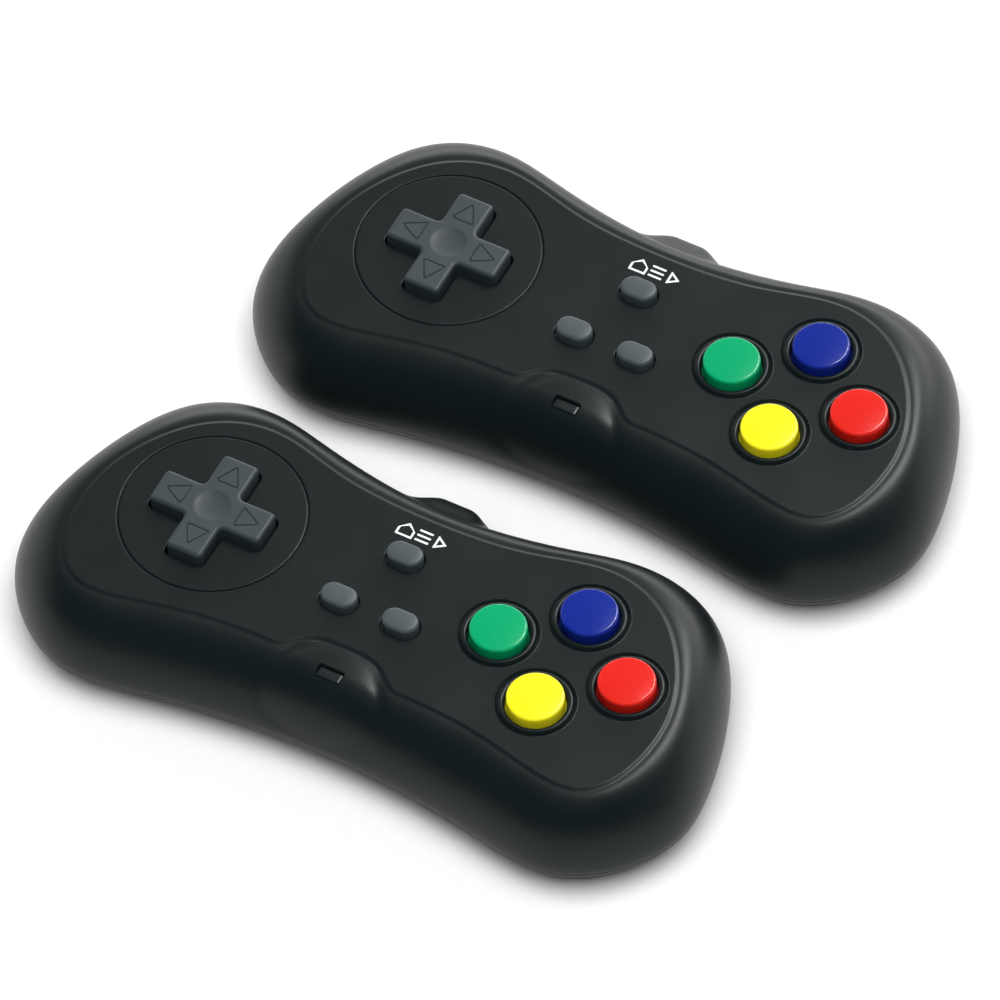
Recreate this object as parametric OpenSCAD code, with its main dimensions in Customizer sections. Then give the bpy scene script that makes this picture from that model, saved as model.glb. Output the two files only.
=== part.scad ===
// A pair of matching two-hand game handsets that lie one behind the other.
// Each handset is a shallow case of two shells. It carries a direction pad, four
// action buttons and three menu buttons over rubber domes and one circuit board.
// Millimetres. +X runs along the handsets, +Y away from the player, +Z up.

/* [Pair] */
// Distance between the two handsets along their length
pair_dx = 10.3; // [0:0.1:60]
// Distance between the two handsets from front to back
pair_dy = 76.2; // [73:0.1:140]

/* [Case] */
// Length of a handset from end to end
body_l = 145; // [144:1:180]
// Depth of a handset from its back edge to its front edge
body_d = 68; // [67:1:84]
// Height of the flat face above the table
body_h = 22; // [21.8:0.1:28]
// Drop from the face to the level where the case is widest
crown_h = 13.7; // [13:0.1:14.5]
// Height of the seam between the two shells
seam_z = 7; // [6.5:0.1:7.6]
// Distance of the flat base inside the widest outline
belly_in = 12.8; // [11:0.1:13]
// Thickness of the shell walls
wall = 1.8; // [1.5:0.1:1.9]

/* [Direction pad] */
// Distance from the end of the case to the middle of the pad and of the action buttons
end_to_pad = 34.7; // [34:0.1:36]
// Length of the cross from tip to tip
pad_l = 23.8; // [20:0.1:26]
// Width of an arm of the cross
pad_w = 7.6; // [6.6:0.1:9]
// Height of the cross above the face
pad_rise = 2.7; // [2:0.1:4]
// Tilt of the pad each way
pad_tilt = 4; // [3:0.1:4.2]
// Radius of the fine groove round the pad
ring_r = 18.3; // [17:0.1:19]

/* [Action buttons] */
// Radius of a round cap
cap_r = 5.6; // [5:0.1:5.9]
// Height of a cap above the face
cap_rise = 2.4; // [1.8:0.1:3.4]
// Outer radius of the groove round a cap
groove_r = 7.9; // [7.4:0.1:8]
// Width of the groove round a cap
groove_w = 0.8; // [0.5:0.1:0.9]
// Distance of the left and right caps from the middle of the group
action_dx = 13.75; // [13:0.05:14]
// Distance of the back and front caps from the middle of the group
action_dy = 10.95; // [10.5:0.05:12]
// Travel of a cap when it is pressed
cap_press = 1.2; // [0.8:0.1:1.3]

/* [Menu buttons] */
// Length of a small oblong button
pill_l = 7.4; // [6.4:0.1:8.4]
// Width of a small oblong button
pill_w = 5; // [4:0.1:5.6]
// Height of a small oblong button above the face
pill_rise = 2.2; // [1.6:0.1:3]
// Distance of the two front menu buttons from the middle
pill_dx = 6.6; // [6:0.1:7]
// Distance of the front menu buttons in front of the pad line
pill_front = 6.9; // [6:0.1:8]
// Distance of the back menu button behind the pad line
pill_back = 7.3; // [6:0.1:8]
// Travel of a menu button when it is pressed
pill_press = 1; // [0.6:0.1:1.2]

/* [Jack and lamp] */
// Radius of the plug hole in the jack
jack_bore_r = 1.8; // [1.3:0.05:1.9]
// Depth of the plug hole
jack_bore_l = 14; // [10:0.5:15]
// Width of the boss round the jack
boss_w = 11; // [10:0.5:14]
// Distance that the boss stands out behind the waist of the case
boss_out = 3; // [2:0.1:5]
// Width of the raised bridge on the front of the case
hump_w = 22; // [18:0.5:26]
// Height of the raised bridge above the face
hump_rise = 0.8; // [0.4:0.1:1.2]
// Length of the lamp window
window_l = 5.3; // [4:0.1:6]
// Width of the lamp window
window_w = 2.6; // [2:0.1:3.4]

/* [Batteries] */
// Radius of a battery cell
cell_r = 5.25; // [5.1:0.05:5.3]
// Length of a battery cell with its button end
cell_l = 44.5; // [43:0.1:46]

/* [Fits] */
// Gap round a button in its hole
button_gap = 0.3; // [0.2:0.05:0.5]
// Gap between a fixed piece and its seat
seat_gap = 0.15; // [0.1:0.05:0.25]
// Gap round a screw and round the pad's pivot ball
pin_gap = 0.05; // [0.03:0.01:0.1]

/* [Hidden] */
$fn = 40;
units = ["console", "controller"];
pieces = [
    "top_shell", "bottom_shell", "dpad", "dpad_pivot", "dpad_post",
    "button_green", "button_blue", "button_yellow", "button_red",
    "button_menu", "button_select", "button_start",
    "dpad_membrane", "action_membrane", "menu_membrane", "contact_pills",
    "main_board", "board_chips", "crystal", "status_led", "led_window",
    "av_jack", "power_switch", "power_slider",
    "battery_door", "battery_cells", "battery_contacts",
    "case_screws", "board_screws", "door_screw"
];

// Outline: control points of a smooth closed curve, for a case of 145 by 68 mm.
// The right half runs from the back to the front, and y = 0 is the pad line.
drawn_l = 145;
drawn_d = 68;
wide_half = [[32.3, 30.1], [43.2, 33.1], [62.1, 28.1], [73.5, -5.6], [72.6, -22.3],
    [54.9, -39.1], [33.9, -33.4]];
wide_back = 22.9;
wide_front = -29.9;
face_half = [[20.4, 17.8], [35.6, 23.9], [50.8, 19.3], [61.7, 2.6], [62.4, -13.2],
    [55.3, -29.4], [31, -20]];
face_back = 16.7;
face_front = -20.95;
curve_steps = 4;

function bend(a, b, c, d, u) = (pow(1 - u, 3) * a + (3 * pow(u, 3) - 6 * pow(u, 2) + 4) * b
    + (1 + 3 * u + 3 * pow(u, 2) - 3 * pow(u, 3)) * c + pow(u, 3) * d) / 6;
function closed_curve(p) = let (n = len(p)) [
    for (i = [0:n - 1], k = [0:curve_steps - 1])
        bend(p[(i + n - 1) % n], p[i], p[(i + 1) % n], p[(i + 2) % n], k / curve_steps)
];
function both_sides(half, back, front) = concat(
    [[0, back]], half, [[0, front]],
    [for (i = [len(half) - 1:-1:0]) [-half[i].x, half[i].y]]);
function stretched(p) = [for (q = p)
    [q.x + sign(q.x) * (body_l - drawn_l) / 2, q.y * body_d / drawn_d]];
function outward(c, i, n) = let (t = c[(i + 1) % n] - c[(i + n - 1) % n]) [-t.y, t.x] / norm(t);
function inset(c, d) = [for (i = [0:len(c) - 1]) c[i] - d * outward(c, i, len(c))];
function highest(c, k) = max([for (q = c) q[k]]);
function lowest(c, k) = min([for (q = c) q[k]]);

wide = closed_curve(stretched(both_sides(wide_half, wide_back, wide_front)));
face = closed_curve(stretched(both_sides(face_half, face_back, face_front)));
mid_y = (highest(wide, 1) + lowest(wide, 1)) / 2;
waist_back = wide[0].y;

// Heights, from the table up
wide_z = body_h - crown_h;
seam_angle = asin((wide_z - seam_z) / wide_z);
skin_z = body_h - wall;
board_t = 1.6;
board_top = body_h - 6.6;
board_z = board_top - board_t;
sheet_t = 0.6;
dome_t = 0.5;
pill_t = 0.25;
sheet_top = board_top + sheet_t;

// Places on the face
pad_x = body_l / 2 - end_to_pad;
actions = [["green", [-action_dx, 0]], ["blue", [0, action_dy]],
    ["yellow", [0, -action_dy]], ["red", [action_dx, 0]]];
pills = [["menu", [0, pill_back]], ["select", [-pill_dx, -pill_front]],
    ["start", [pill_dx, -pill_front]]];

// Direction pad
ball_r = 1.5;
ball_z = body_h - 2.6;
pad_top = body_h + pad_rise;
pad_flange_r = pad_l / 2 + 1.5;
pad_flange_t = 1;
pad_corner_tilt = sqrt(2) * pad_tilt;
pad_flange_top = skin_z - pad_flange_r * sin(pad_corner_tilt) - 0.3;
pad_gap = ceil(20 * (button_gap + (body_h - ball_z) * sin(pad_tilt))) / 20;
pad_corner = 0.9;
post_r = 2;
post_top = ball_z - 0.9;
pad_dome_r = 2.4;
pad_dome_at = pad_l / 2 - 3.6;
pad_dome_top = pad_flange_top - pad_flange_t - (pad_dome_at + 2 * pad_dome_r) * sin(pad_tilt) - 0.25;

// Buttons
flange_t = 1.2;
flange_out = 1.4;
flange_top = skin_z - seat_gap;
flange_z = flange_top - flange_t;
groove_t = 0.5;
dome_r = 2.9;
dome_top = flange_z - 0.4;
hollow_gap = 0.5;
pill_dome_r = 1.5;
pill_dome_top = flange_z - pill_press - 0.3;

// Battery bay
bay_y = -4;
bay_l = cell_l + 5.9;
bay_w = 4 * cell_r + 1.2;
bay_wall = 1.2;
bay_back = bay_y + bay_w / 2 + bay_wall;

// Bosses and screws
screw_r = 1.3;
screw_head_r = 2.4;
screw_head_t = 1.5;
boss_r = 3;
boss_foot = 6;
well_z = 4.2;
case_screw_at = [[body_l / 2 - 18, 12], [body_l / 2 - 20.5, -17], [bay_l / 2 - 1.2, bay_back + 3.2]];
board_screw_at = [[15.5, 14.5], [16.5, -20]];
board_boss_r = 2.4;
board_pin_r = 1;

// Jack
jack_z = board_z - 3.3;
jack_back = waist_back + boss_out;
jack_barrel_r = 3;
jack_body_w = 8;
jack_body_l = 11;
jack_nose_l = boss_out + wall + 1;
boss_h = 7.3;

// Lamp
window_y = face[len(face) / 2].y - 2.4;
hump_apex = face[len(face) / 2].y + 5.1;

cell_z = cell_r + 2.2;
bay_top = cell_z + cell_r + 0.15;
cell_dy = bay_w / 4;
contact_t = 0.4;
door_t = 1.5;
door_z = 0.2;
door_edge = 1.9;
ledge_z = door_z + door_t + seat_gap;
door_tab_r = 4.2;
door_screw_x = bay_l / 2 + 4.2;

// Power switch
switch_x = pad_x + 3;
switch_y = -2;
switch_travel = 2.5;
switch_l = 9;
switch_w = 4.2;
switch_h = 3.4;
knob_l = 3;
knob_w = 2.2;
slot_l = knob_l + switch_travel + 2 * button_gap;

// One smooth closed solid through level rings, given from the bottom up
module loft(rings) {
    n = len(rings[0][0]);
    m = len(rings);
    points = [for (r = rings, p = r[0]) [p.x, p.y, r[1]]];
    sides = [for (k = [0:m - 2], i = [0:n - 1], half = [0, 1])
        let (j = (i + 1) % n, a = k * n, b = a + n)
            half == 0 ? [a + i, a + j, b + j] : [a + i, b + j, b + i]];
    polyhedron(points, concat(
        [[for (i = [n - 1:-1:0]) i]], sides, [[for (i = [0:n - 1]) (m - 1) * n + i]]));
}
function crown_ring(f, w, top, a) = [
    [for (i = [0:len(w) - 1]) f[i] + (w[i] - f[i]) * sin(a)],
    top - (top - wide_z) * (1 - cos(a))];
function belly_ring(w, reach, low, a) = [
    inset(w, reach * (1 - cos(a))), wide_z - (wide_z - low) * sin(a)];

module rounded_rect(l, w, r) {
    square([l - 2 * r, w], center = true);
    square([l, w - 2 * r], center = true);
    for (x = [-1, 1], y = [-1, 1]) translate([x * (l / 2 - r), y * (w / 2 - r)]) circle(r);
}
module stadium(l, w) {
    square([l - w, w], center = true);
    for (x = [-1, 1]) translate([x * (l - w) / 2, 0]) circle(w / 2);
}
module cross(l, w, r) {
    rounded_rect(l, w, r);
    rounded_rect(w, l, r);
}
module four_corners(places) {
    for (p = places, side = [-1, 1]) translate([side * p.x, p.y, 0]) children();
}

// Shells
module crown_outside() {
    loft(concat([belly_ring(wide, belly_in, 0, seam_angle)],
        [for (a = [90:-15:0]) crown_ring(face, wide, body_h, a)]));
}
module crown_inside() {
    inner = inset(wide, wall);
    lid = inset(face, 0.6 * wall);
    loft(concat([[inner, seam_z - 1]], [for (a = [90:-18:0]) crown_ring(lid, inner, skin_z, a)]));
}
module hump_plan() {
    translate([0, hump_apex - 9.5]) scale(0.5) circle(hump_w);
    translate([0, hump_apex - 9.5 - hump_w / 4]) square([hump_w, hump_w / 2], center = true);
}
module hump() {
    rim = inset(wide, 0.4);
    lid = inset(face, -1.6);
    intersection() {
        loft([for (a = [75:-15:0]) crown_ring(lid, rim, body_h + hump_rise, a)]);
        translate([0, 0, wide_z]) linear_extrude(crown_h + 2) hump_plan();
    }
}
module jack_boss() {
    root = wall + 0.8;
    translate([0, waist_back - root, seam_z + 0.01 + boss_h / 2])
        rotate([-90, 0, 0]) linear_extrude(boss_out + root) rounded_rect(boss_w, boss_h, 2);
}
module top_shell() {
    color("#232a2b") difference() {
        union() {
            difference() {
                crown_outside();
                crown_inside();
            }
            difference() {
                hump();
                translate([0, 0, -0.4]) crown_inside();
            }
            jack_boss();
            four_corners(case_screw_at)
                translate([0, 0, boss_foot]) cylinder(h = skin_z + wall / 2 - boss_foot, r = boss_r);
            four_corners(board_screw_at)
                translate([0, 0, board_top]) cylinder(h = skin_z + wall / 2 - board_top, r = board_boss_r);
        }
        pad_opening();
        for (a = actions) translate([pad_x, 0, 0] + [a[1].x, a[1].y, 0]) cap_opening();
        for (p = pills) translate([p[1].x, p[1].y, skin_z - 1])
            linear_extrude(wall + 2) stadium(pill_l + 2 * button_gap, pill_w + 2 * button_gap);
        four_corners(case_screw_at)
            translate([0, 0, boss_foot - 1]) cylinder(h = 11, r = screw_r + pin_gap);
        four_corners(board_screw_at)
            translate([0, 0, board_top - 1]) cylinder(h = 5, r = board_pin_r + pin_gap);
        translate([0, waist_back - 8, jack_z]) rotate([-90, 0, 0])
            cylinder(h = boss_out + 9, r = jack_barrel_r + seat_gap);
        window_opening();
    }
}
module pad_opening() {
    translate([-pad_x, 0, 0]) {
        translate([0, 0, skin_z - 1]) linear_extrude(wall + 2)
            cross(pad_l + 2 * pad_gap, pad_w + 2 * pad_gap, pad_corner);
        translate([0, 0, body_h - 0.3]) difference() {
            cylinder(h = 1, r = ring_r + 0.2);
            translate([0, 0, -1]) cylinder(h = 3, r = ring_r - 0.2);
        }
    }
}
module cap_opening() {
    translate([0, 0, skin_z - 1]) cylinder(h = wall + 2, r = cap_r + button_gap);
    translate([0, 0, body_h]) rotate_extrude() polygon([[groove_r - groove_w, 0],
        [groove_r - groove_w / 2, -groove_t], [groove_r, 0], [groove_r, 1], [groove_r - groove_w, 1]]);
}
module window_opening() {
    translate([0, window_y, body_h - 1.1]) linear_extrude(4)
        square([window_l, window_w], center = true);
    translate([0, window_y, skin_z - 2]) linear_extrude(wall + 2)
        square([window_l - 1, window_w - 1], center = true);
}
module bottom_shell() {
    inner = inset(wide, wall);
    color("#1d2324") difference() {
        union() {
            difference() {
                loft([for (a = [90:-15:30]) belly_ring(wide, belly_in, 0, a),
                    belly_ring(wide, belly_in, 0, seam_angle)]);
                loft([for (a = [90:-18:0]) belly_ring(inner, belly_in - wall, wall, a)]);
            }
            seam_lip();
            four_corners(case_screw_at)
                translate([0, 0, wall / 2]) cylinder(h = boss_foot - wall / 2, r = boss_r);
            bay_walls();
            switch_posts();
        }
        bay_hollow();
        four_corners(case_screw_at) {
            translate([0, 0, -1]) cylinder(h = well_z + 1, r = screw_head_r + seat_gap);
            translate([0, 0, -1]) cylinder(h = boss_foot + 2, r = screw_r + seat_gap);
        }
        translate([switch_x, switch_y, -1]) linear_extrude(wall + 1.5)
            square([slot_l, knob_w + 2 * button_gap], center = true);
    }
}
module seam_lip() {
    lip_out = wall + seat_gap;
    lip_t = 0.9;
    translate([0, 0, seam_z - 1.6]) linear_extrude(2.6) difference() {
        polygon(inset(wide, lip_out));
        polygon(inset(wide, lip_out + lip_t));
        translate([0, waist_back]) square([boss_w + 1, 12], center = true);
    }
}
module bay_walls() {
    translate([0, bay_y, 0]) {
        translate([0, 0, wall / 2]) linear_extrude(bay_top + bay_wall / 2 - wall / 2)
            square([bay_l + 2 * bay_wall, bay_w + 2 * bay_wall], center = true);
        translate([0, 0, wall / 2]) linear_extrude(ledge_z + 1.2 - wall / 2)
            square([bay_l + 2 * door_edge + 1, bay_w + 2 * door_edge], center = true);
        translate([door_screw_x, 0, wall / 2]) cylinder(h = boss_foot + 1 - wall / 2, r = door_tab_r + 0.8);
    }
}
module bay_hollow() {
    translate([0, bay_y, 0]) {
        translate([0, 0, -1]) linear_extrude(bay_top + 1) square([bay_l, bay_w], center = true);
        translate([0, 0, -1]) linear_extrude(ledge_z + 1) door_plan(seat_gap);
        translate([door_screw_x, 0, -1]) cylinder(h = boss_foot + 0.9, r = screw_r + pin_gap);
    }
}
module switch_posts() {
    for (x = [-1, 1]) translate([switch_x + x * (switch_l / 2 + 1.4), switch_y, wall / 2])
        linear_extrude(wall / 2 + switch_h) square([2, switch_w], center = true);
}

// Direction pad: a cross that rocks on a ball, which rests on a post on the board
module dpad() {
    color("#40474a") translate([-pad_x, 0, 0]) difference() {
        union() {
            translate([0, 0, pad_flange_top - 0.01]) linear_extrude(pad_top - 0.7 - pad_flange_top)
                cross(pad_l, pad_w, pad_corner);
            translate([0, 0, pad_top - 0.8]) linear_extrude(0.4) cross(pad_l - 0.5, pad_w - 0.5, pad_corner);
            translate([0, 0, pad_top - 0.45]) linear_extrude(0.45)
                cross(pad_l - 1.4, pad_w - 1.4, pad_corner);
            translate([0, 0, pad_flange_top - pad_flange_t]) cylinder(h = pad_flange_t, r = pad_flange_r);
        }
        translate([0, 0, pad_top + 11.6]) sphere(12);
        for (turn = [0:90:270]) rotate(turn) translate([pad_l / 2 - 3.2, 0, pad_top - 0.25])
            linear_extrude(1) arrow_outline();
        translate([0, 0, ball_z]) sphere(ball_r + pin_gap);
        translate([0, 0, pad_flange_top - pad_flange_t - 1])
            cylinder(h = post_top - pad_flange_top + pad_flange_t + 1.4, r = post_r + 0.7);
    }
}
module arrow_outline() {
    difference() {
        circle(1.9, $fn = 3);
        circle(1.2, $fn = 3);
    }
}
module dpad_pivot() {
    color("#b9bcbf") translate([-pad_x, 0, ball_z]) sphere(ball_r);
}
module dpad_post() {
    color("#d8d4c8") translate([-pad_x, 0, 0]) difference() {
        translate([0, 0, board_top]) cylinder(h = post_top - board_top, r = post_r);
        translate([0, 0, ball_z]) sphere(ball_r + pin_gap);
    }
}

// Buttons
module cap(tint) {
    edge = 0.9;
    crown = 0.35;
    low = body_h + cap_rise - crown - edge;
    hollow_r = dome_r + hollow_gap;
    hollow_top = dome_top + cap_press + 0.3;
    side = [for (a = [0:22.5:90]) [cap_r - edge + edge * cos(a), low + edge * sin(a)]];
    crown_points = [for (k = [1:4]) let (r = (cap_r - edge) * (1 - k / 4))
        [r, low + edge + crown * (1 - pow(r / (cap_r - edge), 2))]];
    color(tint) rotate_extrude() polygon(concat(
        [[0, hollow_top], [hollow_r, hollow_top], [hollow_r, flange_z],
            [cap_r + flange_out, flange_z], [cap_r + flange_out, flange_top], [cap_r, flange_top]],
        side, crown_points));
}
module action_button(k, tint) {
    translate([pad_x, 0, 0] + [actions[k][1].x, actions[k][1].y, 0]) cap(tint);
}
module menu_button(k) {
    rim = 0.5;
    color("#525b5b") translate([pills[k][1].x, pills[k][1].y, 0]) {
        translate([0, 0, flange_z]) linear_extrude(body_h + pill_rise - rim - flange_z)
            stadium(pill_l, pill_w);
        translate([0, 0, body_h + pill_rise - rim]) linear_extrude(rim / 2)
            stadium(pill_l - 0.3, pill_w - 0.3);
        translate([0, 0, body_h + pill_rise - rim / 2]) linear_extrude(rim / 2)
            stadium(pill_l - 1, pill_w - 1);
        translate([0, 0, flange_z]) linear_extrude(flange_t) stadium(pill_l + 1.6, pill_w + 1.6);
    }
}

// Rubber sheets with a hollow dome under each button
module dome(r, top) {
    rotate_extrude() polygon([[r - 0.9, board_top], [r + 0.5, board_top], [r + 0.5, sheet_top],
        [r, sheet_top + 0.2], [r, top], [0, top], [0, top - dome_t], [r - 0.9, top - dome_t]]);
}
module dome_hole(r) {
    translate([0, 0, board_top - 1]) cylinder(h = sheet_t + 2, r = r - 0.5);
}
module membrane(places, r, top) {
    color("#8d8f92") {
        difference() {
            translate([0, 0, board_top]) linear_extrude(sheet_t) children();
            for (p = places) translate(p) dome_hole(r);
        }
        for (p = places) translate(p) dome(r, top);
    }
}
pad_domes = [for (turn = [0:90:270]) [-pad_x + pad_dome_at * cos(turn), pad_dome_at * sin(turn), 0]];
action_domes = [for (a = actions) [pad_x + a[1].x, a[1].y, 0]];
pill_domes = [for (p = pills) [p[1].x, p[1].y, 0]];
module dpad_membrane() {
    membrane(pad_domes, pad_dome_r, pad_dome_top) translate([-pad_x, 0]) difference() {
        circle(pad_dome_at + pad_dome_r + 0.8);
        circle(post_r + 0.4);
    }
}
module action_membrane() {
    membrane(action_domes, dome_r, dome_top) translate([pad_x, 0]) {
        square([2 * action_dx, 2 * dome_r + 2], center = true);
        square([2 * dome_r + 2, 2 * action_dy], center = true);
        for (a = actions) translate(a[1]) circle(dome_r + 1.6);
    }
}
module menu_membrane() {
    membrane(pill_domes, pill_dome_r, pill_dome_top) {
        translate([0, -pill_front]) square([2 * pill_dx + 5, 5.4], center = true);
        translate([0, (pill_back - pill_front) / 2]) square([5, pill_back + pill_front], center = true);
        translate([0, pill_back]) circle(2.9);
    }
}
module contact_pills() {
    color("#1a1a1c") {
        for (p = pad_domes) translate(p) pill_under(pad_dome_top, 1.2);
        for (p = action_domes) translate(p) pill_under(dome_top, 1.6);
        for (p = pill_domes) translate(p) pill_under(pill_dome_top, 0.5);
    }
}
module pill_under(top, r) {
    translate([0, 0, top - dome_t - pill_t]) cylinder(h = pill_t, r = r);
}

// Circuit board and what is soldered to it
module main_board() {
    color("#1d6b3f") difference() {
        translate([0, 0, board_z]) linear_extrude(board_t) polygon(inset(wide, 6.5));
        four_corners(case_screw_at) translate([0, 0, board_z - 1]) cylinder(h = 4, r = boss_r + 0.4);
        four_corners(board_screw_at) translate([0, 0, board_z - 1]) cylinder(h = 4, r = board_pin_r + 0.2);
    }
}
module chip(x, y, l, w, h) {
    translate([x - l / 2, y - w / 2, board_z - h]) cube([l, w, h]);
}
module board_chips() {
    color("#17181a") {
        chip(-pad_x, -1, 12, 9, 1.6);
        chip(-pad_x - 15, -4, 5, 4, 1.2);
        chip(pad_x + 12, 1, 6, 4, 1.4);
        for (k = [0:3]) chip(-pad_x - 6 + 4 * k, -10, 2, 1.2, 0.8);
        for (k = [0:2]) chip(pad_x + 4 * k, 8.5, 2, 1.2, 0.8);
        translate([-pad_x - 12, 6, board_z - 5]) cylinder(h = 5, r = 2.5);
    }
}
module crystal() {
    color("#c6c9cc") translate([-pad_x, 8, board_z - 2]) linear_extrude(2) stadium(10, 3.8);
}
module status_led() {
    color("#d64a3a") translate([0, window_y, board_top]) rotate_extrude() polygon(concat(
        [[0, 0], [1.8, 0], [1.8, 0.8], [1.5, 0.8]],
        [for (a = [0:18:90]) [1.5 * cos(a), body_h - 6.5 - board_top + 1.5 * sin(a)]]));
}
module led_window() {
    color("#5b2420") translate([0, window_y, 0]) {
        translate([0, 0, body_h - 1.1]) linear_extrude(0.7)
            square([window_l - 2 * seat_gap, window_w - 2 * seat_gap], center = true);
        translate([0, 0, skin_z - 0.4]) linear_extrude(wall - 0.7)
            square([window_l - 1 - 2 * seat_gap, window_w - 1 - 2 * seat_gap], center = true);
    }
}
module av_jack() {
    color("#101112") translate([0, jack_back, jack_z]) rotate([90, 0, 0]) difference() {
        union() {
            translate([0, 0, 0.2]) cylinder(h = jack_nose_l + 2, r = jack_barrel_r);
            translate([0, 0, 0.2 + jack_nose_l]) translate([0, 0, jack_body_l / 2])
                cube([jack_body_w, 2 * (board_z - jack_z), jack_body_l], center = true);
        }
        translate([0, 0, -1]) cylinder(h = jack_bore_l + 1.2, r = jack_bore_r);
    }
}
module power_switch() {
    color("#9a9da0") translate([switch_x, switch_y, wall + 0.5]) difference() {
        linear_extrude(switch_h) square([switch_l, switch_w], center = true);
        translate([0, 0, -1]) linear_extrude(2.4)
            square([slot_l, knob_w + 2 * button_gap], center = true);
    }
}
module power_slider() {
    color("#101112") translate([switch_x - switch_travel / 2, switch_y, 0.4])
        linear_extrude(wall + 1.2) square([knob_l, knob_w], center = true);
}

// Batteries, their contacts and their door
module door_plan(gap) {
    square([bay_l + 2 * door_edge + 2 * gap - 1, bay_w + 2 * door_edge + 2 * gap - 1.6], center = true);
    translate([door_screw_x, 0]) circle(door_tab_r + gap);
}
module battery_door() {
    grip_l = 12;
    color("#1d2324") translate([0, bay_y, door_z]) difference() {
        linear_extrude(door_t) door_plan(0);
        for (k = [-2:2]) translate([-bay_l / 4, k * 2, -0.1]) linear_extrude(0.5)
            square([grip_l, 0.8], center = true);
        translate([door_screw_x, 0, -1]) cylinder(h = door_t + 2, r = screw_r + seat_gap);
        translate([door_screw_x, 0, -1]) cylinder(h = 1.8, r = screw_head_r + seat_gap);
    }
}
module door_screw() {
    color("#8f9396") translate([door_screw_x, bay_y, door_z + 0.1]) difference() {
        screw(0, 0.7, 4.5, screw_r, screw_head_r);
        slot_cross(0.35);
    }
}
module cell(spring_side) {
    nub = 1;
    span = bay_l / 2 - contact_t;
    rotate([0, 0, spring_side > 0 ? 180 : 0]) translate([span, 0, 0]) rotate([0, -90, 0]) {
        cylinder(h = nub + 0.1, r = 1.9);
        translate([0, 0, nub]) cylinder(h = cell_l - nub, r = cell_r);
    }
}
module battery_cells() {
    color("#c9973f") for (side = [-1, 1])
        translate([0, bay_y + side * cell_dy, cell_z]) cell(side);
}
module battery_contacts() {
    plate = 8.6;
    reach = bay_l / 2 - contact_t;
    spring_l = 2 * reach - cell_l;
    turns = 6;
    wire = 0.45;
    color("#c6c9cc") translate([0, bay_y, cell_z]) {
        for (end = [-1, 1], side = [-1, 1])
            translate([end * (reach + contact_t / 2), side * cell_dy, 0])
                cube([contact_t, plate, plate], center = true);
        translate([reach, -cell_dy, -plate / 2]) cube([contact_t, 2 * cell_dy, 3]);
        for (side = [-1, 1]) translate([side * reach, side * cell_dy, 0]) rotate([0, -side * 90, 0])
            for (k = [0:turns - 1]) translate([0, 0, wire + k * (spring_l - 2 * wire) / (turns - 1)])
                rotate_extrude() translate([3.2 - 0.25 * k, 0]) circle(wire, $fn = 16);
    }
}

// Screws
module screw(head_z, head_t, pin_l, pin_r, head_r) {
    translate([0, 0, head_z]) cylinder(h = head_t, r = head_r);
    translate([0, 0, head_z + head_t - 0.01]) cylinder(h = pin_l, r = pin_r);
}
module slot_cross(depth) {
    for (turn = [0, 90]) rotate(turn) translate([0, 0, depth / 2 - 0.01])
        cube([2.6, 0.6, depth], center = true);
}
module case_screws() {
    color("#8f9396") four_corners(case_screw_at) translate([0, 0, well_z - screw_head_t]) difference() {
        screw(0, screw_head_t, 10, screw_r, screw_head_r);
        slot_cross(0.8);
    }
}
module board_screws() {
    head_t = 1.2;
    color("#8f9396") four_corners(board_screw_at) translate([0, 0, board_z - head_t]) difference() {
        screw(0, head_t, 4.6, board_pin_r, 1.9);
        slot_cross(0.6);
    }
}

seats = [[-pair_dx / 2, -pair_dy / 2 - mid_y, 0], [pair_dx / 2, pair_dy / 2 - mid_y, 0]];
for (u = [0, 1]) translate(seats[u]) {
    top_shell();
    bottom_shell();
    dpad();
    dpad_pivot();
    dpad_post();
    action_button(0, "#00b578");
    action_button(1, "#1b2fa5");
    action_button(2, "#fff03b");
    action_button(3, "#f0302a");
    menu_button(0);
    menu_button(1);
    menu_button(2);
    dpad_membrane();
    action_membrane();
    menu_membrane();
    contact_pills();
    main_board();
    board_chips();
    crystal();
    status_led();
    led_window();
    av_jack();
    power_switch();
    power_slider();
    battery_door();
    battery_cells();
    battery_contacts();
    case_screws();
    board_screws();
    door_screw();
}
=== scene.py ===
# %% [markdown]
# # A pair of two-hand game handsets
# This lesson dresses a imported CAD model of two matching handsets. The CAD model fixes
# every size, place and motion. Blender adds what the eye sees: soft shoulders,
# rounded edges, engraved arrows, moulded textures, studio light and a camera.
#
# The two handsets are the same product, so each visible piece is made once, in the
# handset's own millimetres, and is shown twice. It could be made with modifiers on a
# box, but a real case is drawn as outlines and sections, so points and faces are
# worked out from those outlines directly.

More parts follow.
